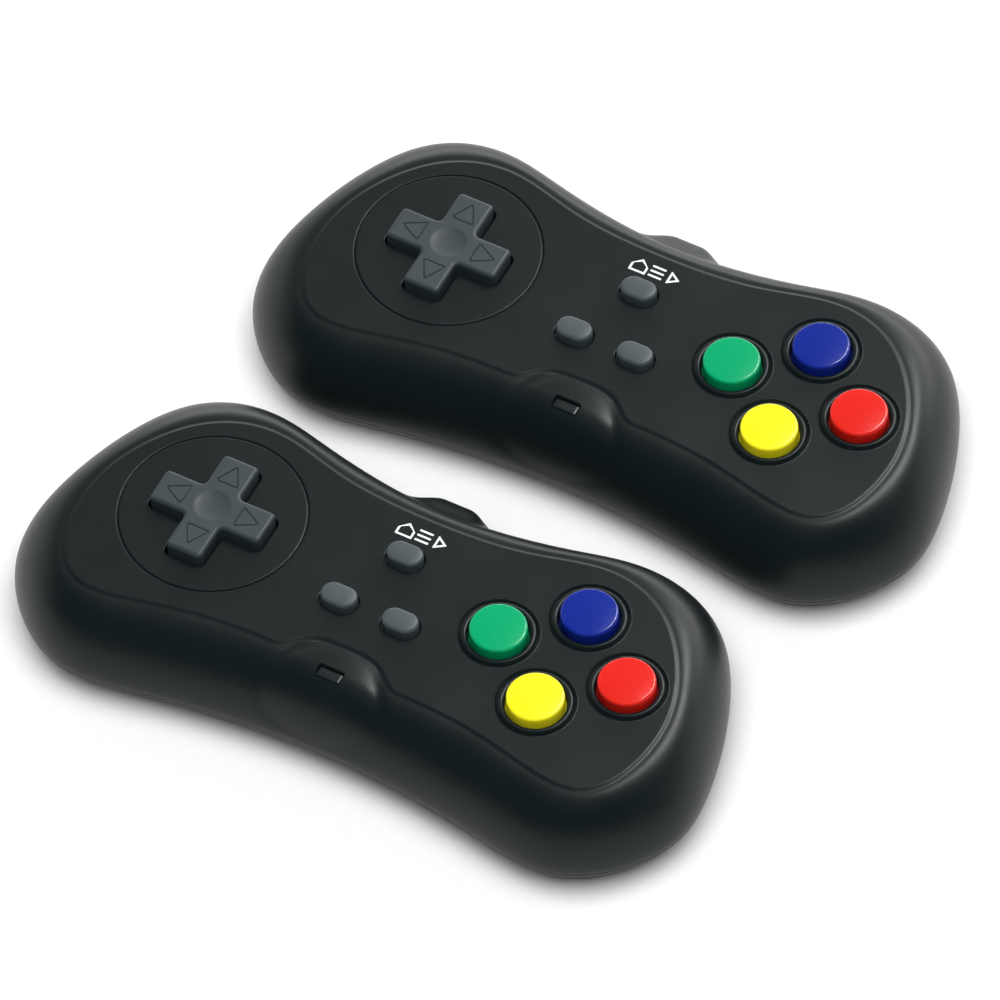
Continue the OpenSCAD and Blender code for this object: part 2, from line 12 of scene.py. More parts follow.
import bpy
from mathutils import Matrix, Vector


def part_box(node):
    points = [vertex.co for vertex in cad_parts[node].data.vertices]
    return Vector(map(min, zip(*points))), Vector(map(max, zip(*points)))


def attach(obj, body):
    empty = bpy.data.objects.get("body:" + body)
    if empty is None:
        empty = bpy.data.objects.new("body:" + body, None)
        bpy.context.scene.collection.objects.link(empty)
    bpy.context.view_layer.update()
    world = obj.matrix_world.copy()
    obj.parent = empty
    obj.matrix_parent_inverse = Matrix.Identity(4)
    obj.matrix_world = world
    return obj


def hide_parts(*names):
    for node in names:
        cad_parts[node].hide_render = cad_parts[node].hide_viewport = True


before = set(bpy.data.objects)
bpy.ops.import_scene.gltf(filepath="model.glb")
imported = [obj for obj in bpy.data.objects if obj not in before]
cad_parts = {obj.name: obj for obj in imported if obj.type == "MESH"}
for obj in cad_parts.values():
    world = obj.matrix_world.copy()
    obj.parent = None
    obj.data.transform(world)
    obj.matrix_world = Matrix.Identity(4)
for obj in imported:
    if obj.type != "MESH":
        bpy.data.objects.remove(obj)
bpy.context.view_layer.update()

# %% [markdown]
# ## Tools
# NumPy works out whole rings of points at a time, bmesh tidies the finished meshes,
# and the triangulation that fills flat areas comes with Blender's own vector library.

# %% Tools
import math

import bmesh
import bpy
import numpy as np
from mathutils import Matrix, Vector
from mathutils.geometry import delaunay_2d_cdt

MM = 0.001
UNITS = ("console", "controller")
scene = bpy.context.scene
print("handsets:", UNITS)

# %% [markdown]
# ## Where each handset lies
# The ball under each direction pad is a CAD piece with a known place in the handset,
# so its middle says where the handset's own origin is: on the table, under the line
# that runs through the pad and the action buttons.

# %% Find both origins
PAD_X = 37.8
BALL_Z = 19.4


def seat_of(unit):
    """The handset's own origin in the shared frame, in metres."""
    low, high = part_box(f"{unit}_dpad_pivot")
    ball = (low + high) / 2
    return ball - Vector((-PAD_X, 0, BALL_Z)) * MM


seats = {unit: seat_of(unit) for unit in UNITS}
for unit in UNITS:
    print(unit, "origin in mm:", [round(v / MM, 2) for v in seats[unit]])

# %% [markdown]
# ## The two outlines
# A case like this starts as two smooth outlines: the widest one, low on the side, and
# the edge of the flat face. Both are closed B-splines through the same number of
# control points, so a point on one has a partner on the other and the shoulder is
# spun between them. More steps go where the lamp bridge and the jack boss will be.
# The widest outline stays a hair inside the CAD shape, so the skin never sticks out.

# %% Draw the outlines
WIDE_HALF = [(32.3, 30.1), (43.2, 33.1), (62.1, 28.1), (73.5, -5.6), (72.6, -22.3),
             (54.9, -39.1), (33.9, -33.4)]
FACE_HALF = [(20.4, 17.8), (35.6, 23.9), (50.8, 19.3), (61.7, 2.6), (62.4, -13.2),
             (55.3, -29.4), (31, -20)]
WIDE_BACK, WIDE_FRONT, FACE_BACK, FACE_FRONT = 22.9, -29.9, 16.7, -20.95
CLEARANCE = 0.08
FINE_STEPS, PLAIN_STEPS = 96, 44


def mirrored(half, back, front):
    """Right half plus its mirror image, clockwise from the middle of the back."""
    return [(0, back), *half, (0, front), *[(-x, y) for x, y in reversed(half)]]


def smooth_loop(corners):
    """Points of a closed uniform cubic B-spline."""
    corners = np.array(corners, float)
    count, runs = len(corners), []
    for i in range(count):
        a, b, c, d = (corners[(i + k) % count] for k in (-1, 0, 1, 2))
        steps = FINE_STEPS if 0 in (b[0], c[0]) else PLAIN_STEPS
        u = (np.arange(steps) / steps)[:, None]
        runs.append(((1 - u) ** 3 * a + (3 * u**3 - 6 * u**2 + 4) * b
                     + (1 + 3 * u + 3 * u**2 - 3 * u**3) * c + u**3 * d) / 6)
    return np.vstack(runs)


def outward(loop):
    """Unit normals that point out of a clockwise loop."""
    along = np.roll(loop, -1, 0) - np.roll(loop, 1, 0)
    normal = np.column_stack([-along[:, 1], along[:, 0]])
    return normal / np.linalg.norm(normal, axis=1)[:, None]


def inset(loop, distance):
    return loop - distance * outward(loop)


def ramp(value, start, end):
    """Smooth step from 0 at start to 1 at end."""
    t = np.clip((value - start) / (end - start), 0, 1)
    return t * t * (3 - 2 * t)


wide = inset(smooth_loop(mirrored(WIDE_HALF, WIDE_BACK, WIDE_FRONT)), CLEARANCE)
face = smooth_loop(mirrored(FACE_HALF, FACE_BACK, FACE_FRONT))
print("outline points:", len(wide), "length in mm:", round(float(np.ptp(wide[:, 0])), 1))

# %% [markdown]
# ## A small mesh maker
# Every piece here is rings joined by strips, with flat areas filled between rings.
# A flat area with holes could be cut with booleans, but those leave long slivers that
# shade badly. A constrained triangulation between the rings keeps every edge where
# it was drawn. Extra rings close to each edge hold the flats flat in smooth shading.

# %% The mesh maker
CRISP = 32


class Skin:
    """Points and faces of a piece, in the handset's own millimetres."""

    def __init__(self):
        self.points, self.faces = [], []

    def ring(self, loop, z):
        start = len(self.points)
        heights = np.broadcast_to(z, len(loop))
        self.points += [(float(p[0]), float(p[1]), float(h)) for p, h in zip(loop, heights)]
        return list(range(start, len(self.points)))

    def strip(self, a, b):
        n = len(a)
        self.faces += [(a[i], a[(i + 1) % n], b[(i + 1) % n], b[i]) for i in range(n)]

    def rings(self, pairs):
        """Rings from (loop, z) pairs, joined in order."""
        made = [self.ring(loop, z) for loop, z in pairs]
        for a, b in zip(made, made[1:]):
            self.strip(a, b)
        return made

    def fill(self, edge, holes=()):
        """Flat triangles inside the ring edge and outside each ring of holes."""
        loops = [edge, *holes]
        index = [i for loop in loops for i in loop]
        flat = [Vector(self.points[i][:2]) for i in index]
        lines, start = [], 0
        for loop in loops:
            lines += [(start + k, start + (k + 1) % len(loop)) for k in range(len(loop))]
            start += len(loop)
        made, _, triangles = delaunay_2d_cdt(flat, lines, [], 0, 1e-7)[:3]
        if len(made) > len(flat):
            raise ValueError(f"two rings cross near {made[len(flat)][:]}")
        spot = np.array([v[:] for v in flat])
        middle = np.array([spot[list(t)].mean(0) for t in triangles])
        a, b = (spot[[line[k] for line in lines]] for k in (0, 1))
        crossings = np.zeros(len(middle), int)
        for p, q in zip(a, b):
            if p[1] != q[1]:
                level = (middle[:, 1] > p[1]) != (middle[:, 1] > q[1])
                at = p[0] + (middle[:, 1] - p[1]) * (q[0] - p[0]) / (q[1] - p[1])
                crossings += level & (middle[:, 0] < at)
        inside = [t for t, n in zip(triangles, crossings) if n % 2]
        self.faces += [tuple(index[k] for k in t) for t in inside]

    def closed(self, pairs):
        """Rings joined in order, with both ends filled."""
        made = self.rings(pairs)
        self.fill(made[0])
        self.fill(made[-1])

    def cap(self, ring, x, y, z):
        """A fan from a ring to one point."""
        self.points.append((x, y, z))
        tip, n = len(self.points) - 1, len(ring)
        self.faces += [(ring[i], ring[(i + 1) % n], tip) for i in range(n)]

    def lathe(self, x, y, profile, count=64):
        """Rings round an upright axis; a radius of 0 ends the piece in a point."""
        made = [self.ring(circle(x, y, r, count), z) for r, z in profile if r > 0]
        for a, b in zip(made, made[1:]):
            self.strip(a, b)
        for end, ring in ((0, made[0]), (-1, made[-1])):
            if profile[end][0] == 0:
                self.cap(ring, x, y, profile[end][1])
        return made

    def mesh(self, name, sharp=CRISP):
        data = bpy.data.meshes.new(name)
        data.from_pydata([(x * MM, y * MM, z * MM) for x, y, z in self.points], [], self.faces)
        return tidy_mesh(data, sharp)


print("ring strips and flat fills ready, crisp above", CRISP, "degrees")

# %% [markdown]
# ## Finishing a mesh
# Rings that meet leave doubled points, and faces listed one by one may look inward, so each
# mesh is tidied once. Shading is smooth, but for edges that turn more than an angle.

# %% Tidy and shade
def shade(data, sharp):
    """Smooth shading, with edges over the sharp angle kept crisp."""
    data.shade_smooth()
    data.set_sharp_from_angle(angle=math.radians(sharp))
    return data


def tidy_mesh(data, sharp):
    """Doubled points merged and faces turned outward."""
    work = bmesh.new()
    work.from_mesh(data)
    bmesh.ops.remove_doubles(work, verts=work.verts, dist=1e-8)
    bmesh.ops.recalc_face_normals(work, faces=work.faces)
    work.to_mesh(data)
    work.free()
    return shade(data, sharp)


print("mesh tidying ready")

# %% [markdown]
# ## Closed paths
# Most outlines are circles, or straight lines with an arc at each corner. The arcs
# are worked out from the corners and a radius, as a designer would draw them.

# %% Circles and rounded outlines
def circle(x, y, radius, count=64):
    turn = np.linspace(0, 2 * math.pi, count, endpoint=False)
    return np.column_stack([x + radius * np.cos(turn), y + radius * np.sin(turn)])


def rounded_path(corners, radius, inner=None, steps=7):
    """A closed path with an arc at each corner.
    Inner is the radius of corners that turn back."""
    corners = [np.array(c, float) for c in corners]
    befores, afters = corners[-1:] + corners[:-1], corners[1:] + corners[:1]
    area = sum(a[0] * b[1] - b[0] * a[1] for a, b in zip(corners, afters))
    points = []
    for before, here, after in zip(befores, corners, afters):
        u, v = before - here, after - here
        u, v = u / np.linalg.norm(u), v / np.linalg.norm(v)
        back = (u[0] * v[1] - u[1] * v[0]) * area > 0
        size = inner if back and inner is not None else radius
        half = math.acos(np.clip(u @ v, -1, 1)) / 2
        centre = here + (u + v) / np.linalg.norm(u + v) * size / math.sin(half)
        first, last = here + u * size / math.tan(half), here + v * size / math.tan(half)
        start = math.atan2(*(first - centre)[::-1])
        sweep = (math.atan2(*(last - centre)[::-1]) - start + math.pi) % (2 * math.pi) - math.pi
        for t in np.linspace(0, 1, steps):
            angle = start + sweep * t
            points.append(centre + size * np.array([math.cos(angle), math.sin(angle)]))
    return np.array(points)


def block(x, y, length, width, radius, steps=7):
    """A rectangle with round corners, about (x, y)."""
    l, w = length / 2, width / 2
    corners = [(x + l, y + w), (x - l, y + w), (x - l, y - w), (x + l, y - w)]
    return rounded_path(corners, radius, steps=steps)


print("a 10 mm square with round corners has", len(block(0, 0, 10, 10, 1)), "points")

# %% [markdown]
# ## Colour and nodes
# Colours are written as the sRGB hex values that a colour card shows. The shader
# works in linear light, so one function converts them. Another fills in a node's
# inputs, with a plain value or a link, and one adds a node with its settings and
# inputs, which keeps each finish below short enough to read.

# %% Colour and node helpers
def linear(hex_value):
    """Linear RGBA from an sRGB hex value."""
    parts = [int(hex_value[i:i + 2], 16) / 255 for i in (1, 3, 5)]
    return (*[p / 12.92 if p <= 0.04045 else ((p + 0.055) / 1.055) ** 2.4 for p in parts], 1)


def set_inputs(tree, node, inputs):
    """Sets inputs to plain values, or links other nodes' output sockets to them."""
    for name, value in inputs.items():
        if isinstance(value, bpy.types.NodeSocket):
            tree.links.new(value, node.inputs[name])
        else:
            node.inputs[name].default_value = value


def add_node(tree, kind, inputs=None, **settings):
    """A new shader node with its settings and inputs."""
    node = tree.nodes.new("ShaderNode" + kind)
    for name, value in settings.items():
        setattr(node, name, value)
    set_inputs(tree, node, inputs or {})
    return node


def new_finish(name):
    """An empty material with its shader and object coordinates in place."""
    finish = bpy.data.materials.new(name)
    finish.use_nodes = True
    tree = finish.node_tree
    shader = tree.nodes["Principled BSDF"]
    place = add_node(tree, "TexCoord").outputs["Object"]
    return finish, tree, shader, place


print("graphite sRGB #2A3032 is linear", [round(v, 4) for v in linear("#2A3032")[:3]])

# %% [markdown]
# ## Moulded plastics
# Nearly everything that shows is injection-moulded ABS. What the eye gets from it
# comes from the mould: a spark-eroded mould leaves a fine even grain and a satin
# sheen, and a polished one leaves a glossy skin with a very faint ripple. The real
# grain is about 0.1 mm, too fine to show here, so it is drawn a little coarser.
# ABS has an IOR of 1.54. A long slow cloud varies the gloss a little, as handling
# and the flow of the plastic do.

# %% Moulded plastic
IOR_ABS, IOR_PC, IOR_ACETAL, IOR_PBT, IOR_EPOXY = 1.54, 1.585, 1.48, 1.6, 1.55
CLOUD_MM = 14
TEXTURED, POLISHED = 0.22, (0.16, 0.24)


def moulded_plastic(name, tint, dark, grain_mm, grain_depth_mm, gloss, ior=IOR_ABS, mirror=0.5):
    """Plastic from a textured or polished mould. Gloss is (lowest, highest) roughness.
    Mirror is the share of reflected light: the pits of a textured skin swallow some."""
    finish, tree, shader, place = new_finish(name)
    grain = add_node(tree, "TexNoise", {"Vector": place, "Scale": 1000 / grain_mm, "Detail": 3.0,
                                        "Roughness": 0.6})
    cloud = add_node(tree, "TexNoise", {"Vector": place, "Scale": 1000 / CLOUD_MM, "Detail": 2.0})
    both = add_node(tree, "Math", {0: grain.outputs["Fac"], 1: 0.6}, operation="MULTIPLY")
    mixed = add_node(tree, "Math", {0: cloud.outputs["Fac"], 1: 0.4, 2: both.outputs[0]},
                     operation="MULTIPLY_ADD")
    colour = add_node(tree, "Mix", {"Factor": mixed.outputs[0], "A": linear(dark), "B": linear(tint)},
                      data_type="RGBA")
    rough = add_node(tree, "MapRange", {"Value": mixed.outputs[0], "From Min": 0.3, "From Max": 0.7,
                                        "To Min": gloss[0], "To Max": gloss[1]})
    bump = add_node(tree, "Bump", {"Height": grain.outputs["Fac"], "Strength": 1.0,
                                   "Distance": grain_depth_mm * MM})
    set_inputs(tree, shader, {"IOR": ior, "Specular IOR Level": mirror,
                              "Base Color": colour.outputs["Result"],
                              "Roughness": rough.outputs[0], "Normal": bump.outputs[0]})
    return finish


case_abs = moulded_plastic("case_textured_abs", "#131C1D", "#0D1415", 0.32, 0.006, (0.32, 0.42),
                           mirror=TEXTURED)
base_abs = moulded_plastic("base_textured_abs", "#151E1F", "#0E1415", 0.32, 0.008, (0.38, 0.48),
                           mirror=TEXTURED)
pad_abs = moulded_plastic("pad_matte_abs", "#353F42", "#2B3437", 0.4, 0.010, (0.42, 0.55),
                          mirror=0.35)
pill_abs = moulded_plastic("menu_button_matte_abs", "#475153", "#3D4648", 0.4, 0.008, (0.38, 0.5),
                           mirror=0.35)
CAP_COLOURS = {"green": ("#00AC70", "#009F65"), "blue": ("#122C96", "#0E2385"),
               "yellow": ("#FFF82C", "#FCEC16"), "red": ("#E8271D", "#D61E15")}
cap_abs = {colour: moulded_plastic(f"{colour}_polished_abs", *pair, 0.9, 0.002, POLISHED, mirror=0.35)
           for colour, pair in CAP_COLOURS.items()}
lamp_window_pc = moulded_plastic("smoked_polycarbonate", "#182223", "#101819", 1.5, 0.001,
                                 (0.25, 0.35), ior=IOR_PC, mirror=0.28)
knob_pom = moulded_plastic("switch_knob_acetal", "#1A1B1C", "#121314", 0.3, 0.006, (0.35, 0.45),
                           ior=IOR_ACETAL)
jack_pbt = moulded_plastic("jack_body_pbt", "#141516", "#0E0F10", 0.35, 0.008, (0.4, 0.5),
                           ior=IOR_PBT)
post_pom = moulded_plastic("pivot_post_acetal", "#D8D4C8", "#CBC6B8", 0.4, 0.005, (0.35, 0.45),
                           ior=IOR_ACETAL)
chip_epoxy = moulded_plastic("chip_moulded_epoxy", "#1B1C1E", "#131415", 0.25, 0.010, (0.55, 0.7),
                             ior=IOR_EPOXY)
lamp_epoxy = moulded_plastic("lamp_cast_epoxy", "#C9402F", "#B4301F", 1.2, 0.001, (0.1, 0.16),
                             ior=1.53)
print("moulded plastics:", [m.name for m in bpy.data.materials])

# %% [markdown]
# ## Rubber
# The key sheets inside are pressed silicone with a dusty matte skin, and the contact
# discs under them are carbon-filled. Silicone has an IOR of 1.41.

# %% Silicone and carbon
IOR_SILICONE = 1.41
DUST_MM = 1.8


def pressed_rubber(name, tint, dark, rough):
    """Silicone or carbon rubber: matte, slightly cloudy, with a pressed skin."""
    finish, tree, shader, place = new_finish(name)
    dust = add_node(tree, "TexNoise", {"Vector": place, "Scale": 1000 / DUST_MM, "Detail": 5.0})
    colour = add_node(tree, "Mix", {"Factor": dust.outputs["Fac"], "A": linear(dark), "B": linear(tint)},
                      data_type="RGBA")
    bump = add_node(tree, "Bump", {"Height": dust.outputs["Fac"], "Distance": 0.02 * MM,
                                   "Strength": 1.0})
    set_inputs(tree, shader, {"IOR": IOR_SILICONE, "Roughness": rough,
                              "Base Color": colour.outputs["Result"],
                              "Normal": bump.outputs[0]})
    return finish


key_silicone = pressed_rubber("key_sheet_silicone", "#92959A", "#83868B", 0.65)
contact_carbon = pressed_rubber("contact_carbon_rubber", "#1C1C1E", "#141416", 0.8)
print("rubbers:", key_silicone.name, contact_carbon.name)

# %% [markdown]
# ## Plated steel
# Screws, the pivot ball and the battery contacts are plated steel. A metal needs no
# IOR of its own: the finish is in its colour and in fine drawn or turned lines. A wave
# texture draws a little over six lines, dark and bright, along one unit of its scale.

# %% Plated steel
LINES_IN_A_UNIT = 6.28


def plated_steel(name, tint, dark, line_mm, rough):
    """Steel with a bright plating over fine lines from drawing or turning."""
    finish, tree, shader, place = new_finish(name)
    lines = add_node(tree, "TexWave", {"Vector": place, "Scale": 1000 / line_mm / LINES_IN_A_UNIT,
                                       "Distortion": 3.0, "Detail": 3.0}, bands_direction="Z")
    colour = add_node(tree, "Mix", {"Factor": lines.outputs["Fac"], "A": linear(dark), "B": linear(tint)},
                      data_type="RGBA")
    gloss = add_node(tree, "MapRange", {"Value": lines.outputs["Fac"], "To Min": rough - 0.06,
                                        "To Max": rough + 0.06})
    set_inputs(tree, shader, {"Metallic": 1.0, "Base Color": colour.outputs["Result"],
                              "Roughness": gloss.outputs[0]})
    return finish


zinc_steel = plated_steel("zinc_plated_screw_steel", "#A9ADB1", "#94999D", 0.25, 0.32)
nickel_steel = plated_steel("nickel_plated_spring_steel", "#CFCDC6", "#BEBBB3", 0.4, 0.25)
ball_steel = plated_steel("polished_bearing_steel", "#C4C7CA", "#B8BBBE", 0.8, 0.14)
can_steel = plated_steel("drawn_switch_can_steel", "#B4B7BA", "#A2A5A8", 0.5, 0.3)
print("steels:", [m.name for m in (zinc_steel, nickel_steel, ball_steel, can_steel)])

# %% [markdown]
# ## Circuit board
# The board is glass-epoxy with green solder mask. A brick pattern gives the squared
# runs of the copper tracks under it and small cells give the tinned solder dots.

# %% Circuit board
TRACK_MM, DOT_MM = 2.4, 3.1


def solder_masked_board():
    """Green mask over a copper pattern: paler where copper lies under it."""
    finish, tree, shader, place = new_finish("solder_masked_glass_epoxy")
    tracks = add_node(tree, "TexBrick", {"Vector": place, "Scale": 1000 / TRACK_MM,
                                         "Mortar Size": 0.09, "Mortar Smooth": 0.1,
                                         "Brick Width": 0.9, "Row Height": 0.34},
                      offset=0.37, squash=1.0)
    pads = add_node(tree, "TexVoronoi", {"Vector": place, "Scale": 1000 / DOT_MM})
    dots = add_node(tree, "MapRange", {"Value": pads.outputs["Distance"], "From Min": 0.16,
                                       "From Max": 0.2, "To Min": 1.0, "To Max": 0.0})
    mask = add_node(tree, "Mix", {"Factor": tracks.outputs["Fac"], "A": linear("#14562F"),
                                  "B": linear("#267848")}, data_type="RGBA")
    tinned = add_node(tree, "Mix", {"Factor": dots.outputs[0], "A": mask.outputs["Result"],
                                    "B": linear("#B9B6A4")}, data_type="RGBA")
    bump = add_node(tree, "Bump", {"Height": tracks.outputs["Fac"], "Distance": 0.03 * MM,
                                   "Strength": 1.0})
    set_inputs(tree, shader, {"IOR": IOR_EPOXY, "Roughness": 0.32,
                              "Base Color": tinned.outputs["Result"],
                              "Normal": bump.outputs[0]})
    return finish


board_finish = solder_masked_board()
print("board finish:", board_finish.name)

# %% [markdown]
# ## Cell sleeve
# A battery cell wears a shrunk printed film: dark, with a copper-coloured band at one
# end. One sine wave along the battery bay places the band.

# %% Cell sleeve
IOR_PVC = 1.53
SHRINK_MM = 5.0


def printed_cell_sleeve(bay_mm):
    """Dark sleeve with a copper-coloured band. The wave is as long as the battery bay."""
    finish, tree, shader, place = new_finish("printed_pvc_cell_sleeve")
    along = add_node(tree, "SeparateXYZ", {"Vector": place}).outputs["X"]
    shrink = add_node(tree, "TexNoise", {"Vector": place, "Scale": 1000 / SHRINK_MM, "Detail": 2.0})
    wave = add_node(tree, "Math", {0: along, 1: 2 * math.pi / (bay_mm * MM)}, operation="MULTIPLY")
    side = add_node(tree, "Math", {0: wave.outputs[0]}, operation="SINE")
    band = add_node(tree, "MapRange", {"Value": side.outputs[0], "From Min": 0.55, "From Max": 0.6})
    colour = add_node(tree, "Mix", {"Factor": band.outputs[0], "A": linear("#24262B"),
                                    "B": linear("#C38A3E")}, data_type="RGBA")
    gloss = add_node(tree, "MapRange", {"Value": shrink.outputs["Fac"], "To Min": 0.18, "To Max": 0.34})
    bump = add_node(tree, "Bump", {"Height": shrink.outputs["Fac"], "Distance": 0.05 * MM,
                                   "Strength": 1.0})
    set_inputs(tree, shader, {"IOR": IOR_PVC, "Base Color": colour.outputs["Result"],
                              "Roughness": gloss.outputs[0], "Normal": bump.outputs[0]})
    return finish


BAY_L = 50.4
cell_film = printed_cell_sleeve(BAY_L)
print("cell finish:", cell_film.name)

# %% [markdown]
# ## Showing a piece twice
# Each mesh is in the handset's own space, so a copy only needs the handset's origin.
# Both copies share one mesh. Each rides on the CAD body of the same name and takes
# the place of its CAD node.

# %% Place a piece on both handsets
def show_twice(data, piece, body, finish, stands_for=()):
    """The mesh as a named piece on both handsets, riding a body, in place of CAD nodes."""
    data.materials.clear()
    data.materials.append(finish)
    for unit in UNITS:
        thing = bpy.data.objects.new(f"{unit}_{piece}_skin", data)
        scene.collection.objects.link(thing)
        thing.location = seats[unit]
        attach(thing, f"{unit}_{body}")
        if stands_for:
            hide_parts(*[f"{unit}_{node}" for node in stands_for])
    print(piece, "faces:", len(data.polygons))


print("ready to place pieces on", len(UNITS), "handsets")

# %% [markdown]
# ## The upper shell: its outer surface
# The flat face ends in a tiny rounded edge and a shallow cove, and then one broad
# shoulder rolls down to the widest line and in again to the seam. At the front the
# edge of the face swings back in an arc to leave room for the lamp bridge, a soft
# dome that grows out of the shoulder. At the back a boss for the jack swells out of
# the waist. Sculpting would do for one copy; a formula for each form stays exact and
# symmetrical, so the points of the shoulder are simply moved onto those forms. A
# fullness of 2 would make the shoulder an ellipse; a little less leans its start, so
# that a crisp bright line can stand beside the face.

# %% Forms on the shoulder
FACE_Z, WIDE_Z, SEAM_Z = 22.0, 8.3, 7.0
WALL = 1.8
SKIN_Z = FACE_Z - WALL
COVE_DROP = 0.27
COVE_OUT = 1.15
FULLNESS = 1.82
ARC_REACH, ARC_HALF = 5.1, 13.2
BRIDGE_HALF, BRIDGE_RISE = 8.0, 14.1
CREST_FRONT, CREST_BACK = -21.5, -20.5
FALL_RUN, BACK_RUN = 9.4, 5.2
FLARE_Y, FLARE, FLARE_MORE = -19, 0.36, 0.012
CROWN, CROWN_MORE, FAR_OFF = 0.3, 0.45, 9
BRIDGE_BLEND = 0.6
BOSS_BACK, BOSS_FOOT, BOSS_FLAT = 28.28, 11.0, 2.6
BOSS_TOP, BOSS_LOW = (18.2, 13.4), (2.2, 6.6)


def bridge_arc(x, y):
    """How far the edge of the face swings back round the lamp bridge."""
    t = np.clip(np.abs(x) / ARC_HALF, 0, 1)
    return np.where(y < 0, ARC_REACH * np.cos(math.pi / 2 * t**2) ** 2, 0)


def bridge_height(x, y):
    """Height of the lamp bridge over a point, far below the case away from it."""
    forward = np.clip(FLARE_Y - y, 0, None)
    half = BRIDGE_HALF + FLARE * forward + FLARE_MORE * forward**2
    fall = np.clip((CREST_FRONT - y) / FALL_RUN, 0, 1)
    ridge = WIDE_Z + BRIDGE_RISE * np.sqrt(1 - fall**2)
    behind = np.clip((y - CREST_BACK) / BACK_RUN, 0, None)
    spread = np.minimum((x / half) ** 2 + behind**2, FAR_OFF)
    return ridge - CROWN * spread - CROWN_MORE * spread**2


def soft_max(a, b, blend):
    """The larger of two heights, with the corner between them filled."""
    h = np.clip(0.5 + (a - b) / (2 * blend), 0, 1)
    return b + (a - b) * h + blend * h * (1 - h)


def with_bridge(loop, z):
    """Raises the heights of a ring onto the lamp bridge."""
    near = (loop[:, 1] < -14) & (np.abs(loop[:, 0]) < 20)
    raised = soft_max(bridge_height(loop[:, 0], loop[:, 1]), z, BRIDGE_BLEND)
    return np.where(near, raised, z)


def with_boss(loop, z):
    """Pushes a ring out onto the jack boss, which has sloping sides and top."""
    sides = ramp(np.abs(loop[:, 0]), BOSS_FOOT, BOSS_FLAT)
    level = ramp(z, *BOSS_TOP) * ramp(z, *BOSS_LOW)
    missing = np.clip(BOSS_BACK - loop[:, 1], 0, None)
    push = np.where(loop[:, 1] > 0, missing * sides * level, 0)
    return loop + np.column_stack([np.zeros(len(loop)), push])


edge = face + np.column_stack([np.zeros(len(face)), bridge_arc(face[:, 0], face[:, 1])])
foot = inset(edge, -COVE_OUT)
print("arc over the lamp bridge reaches y =", round(float(edge[np.abs(edge[:, 0]) < 1, 1].min()), 2))

# %% [markdown]
# ## The upper shell: rings from the face to the seam
# Level rings run out over the small edge of the face, down the shoulder and in to the
# seam. They stand closer together where the surface turns fast.

# %% Rings of the outer surface
SEAM_GAP, SEAM_DEPTH = 0.14, 0.25
BELLY_IN = 12.8


def shoulder_ring(angle):
    """A ring of the shoulder, from the face at 0 to the widest line at 90 degrees.
    It is level but for the lamp bridge."""
    top = FACE_Z - COVE_DROP
    loop = foot + (wide - foot) * math.sin(angle) ** (2 / FULLNESS)
    z = np.full(len(loop), top - (top - WIDE_Z) * (1 - abs(math.cos(angle)) ** (2 / FULLNESS)))
    z = with_bridge(loop, z)
    return with_boss(loop, z), z


def belly_ring(angle):
    """A level ring of the belly, from the widest line at 0 to the base at 90 degrees."""
    loop = inset(wide, BELLY_IN * (1 - math.cos(angle)))
    z = WIDE_Z - WIDE_Z * math.sin(angle)
    return with_boss(loop, np.full(len(loop), z)), z


def seam_ring(z):
    """The belly's outline at a height near the seam."""
    return belly_ring(math.asin((WIDE_Z - z) / WIDE_Z))[0]


small_edge = [(-0.35, 0), (-0.12, 0), (0.0, 0.01), (0.15, 0.04), (0.3, 0.09), (0.45, 0.15),
              (0.6, 0.2), (0.78, 0.24), (0.96, 0.26)]
outer = [(inset(edge, -out), FACE_Z - drop) for out, drop in small_edge]
outer += [shoulder_ring(math.radians(a)) for a in np.arange(0, 90.1, 1.5)]
outer += [(seam_ring(z), z) for z in (7.9, 7.5, SEAM_Z + SEAM_GAP)]
outer.append((inset(seam_ring(SEAM_Z), SEAM_DEPTH), SEAM_Z))
print("outer rings:", len(outer))

# %% [markdown]
# ## The openings
# The pad's cross, the four round caps and the three oblong keys each have an outline.
# The same outline, grown by a gap, makes the hole that the piece moves in.

# %% Shapes of the openings
CAP_SIDE, CAP_UP = 13.75, 10.95
ACTIONS = {"green": (PAD_X - CAP_SIDE, 0), "blue": (PAD_X, CAP_UP),
           "yellow": (PAD_X, -CAP_UP), "red": (PAD_X + CAP_SIDE, 0)}
PILLS = {"menu": (0, 7.3), "select": (-6.6, -6.9), "start": (6.6, -6.9)}
PAD_L, PAD_W, PAD_GAP, PAD_CORNER = 23.8, 7.6, 0.5, 0.9
CAP_R, GAP = 5.6, 0.3
PILL_L, PILL_W = 7.4, 5.0


def cross_path(grow=0.0, corner=PAD_CORNER):
    """The outline of the direction pad's cross, grown by a distance."""
    l, w = PAD_L / 2 + grow, PAD_W / 2 + grow
    spots = [(l, w), (w, w), (w, l), (-w, l), (-w, w), (-l, w),
             (-l, -w), (-w, -w), (-w, -l), (w, -l), (w, -w), (l, -w)]
    spots = [(x - PAD_X, y) for x, y in spots]
    return rounded_path(spots, max(0.05, corner + grow), inner=max(0.05, corner - grow))


def pill_path(place, grow=0.0):
    """The outline of a menu button, grown by a distance."""
    return block(*place, PILL_L + 2 * grow, PILL_W + 2 * grow, PILL_W / 2 + grow - 0.01, steps=17)


def rounded_drop(radius, top, out, steps=4):
    """(distance out, z) pairs of a convex edge that turns down into a hole."""
    turns = np.linspace(0, math.pi / 2, steps)
    return [(out + radius * (1 - math.sin(t)), top - radius * (1 - math.cos(t))) for t in turns]


print("openings:", 1 + len(ACTIONS) + len(PILLS))

# %% [markdown]
# ## The upper shell: face and inside
# The face carries a fine turned groove round the pad and a collar with a V-groove
# round each action button. Every opening is a short stack of rings from the face down
# to the inner skin, so the wall's thickness shows in every gap.

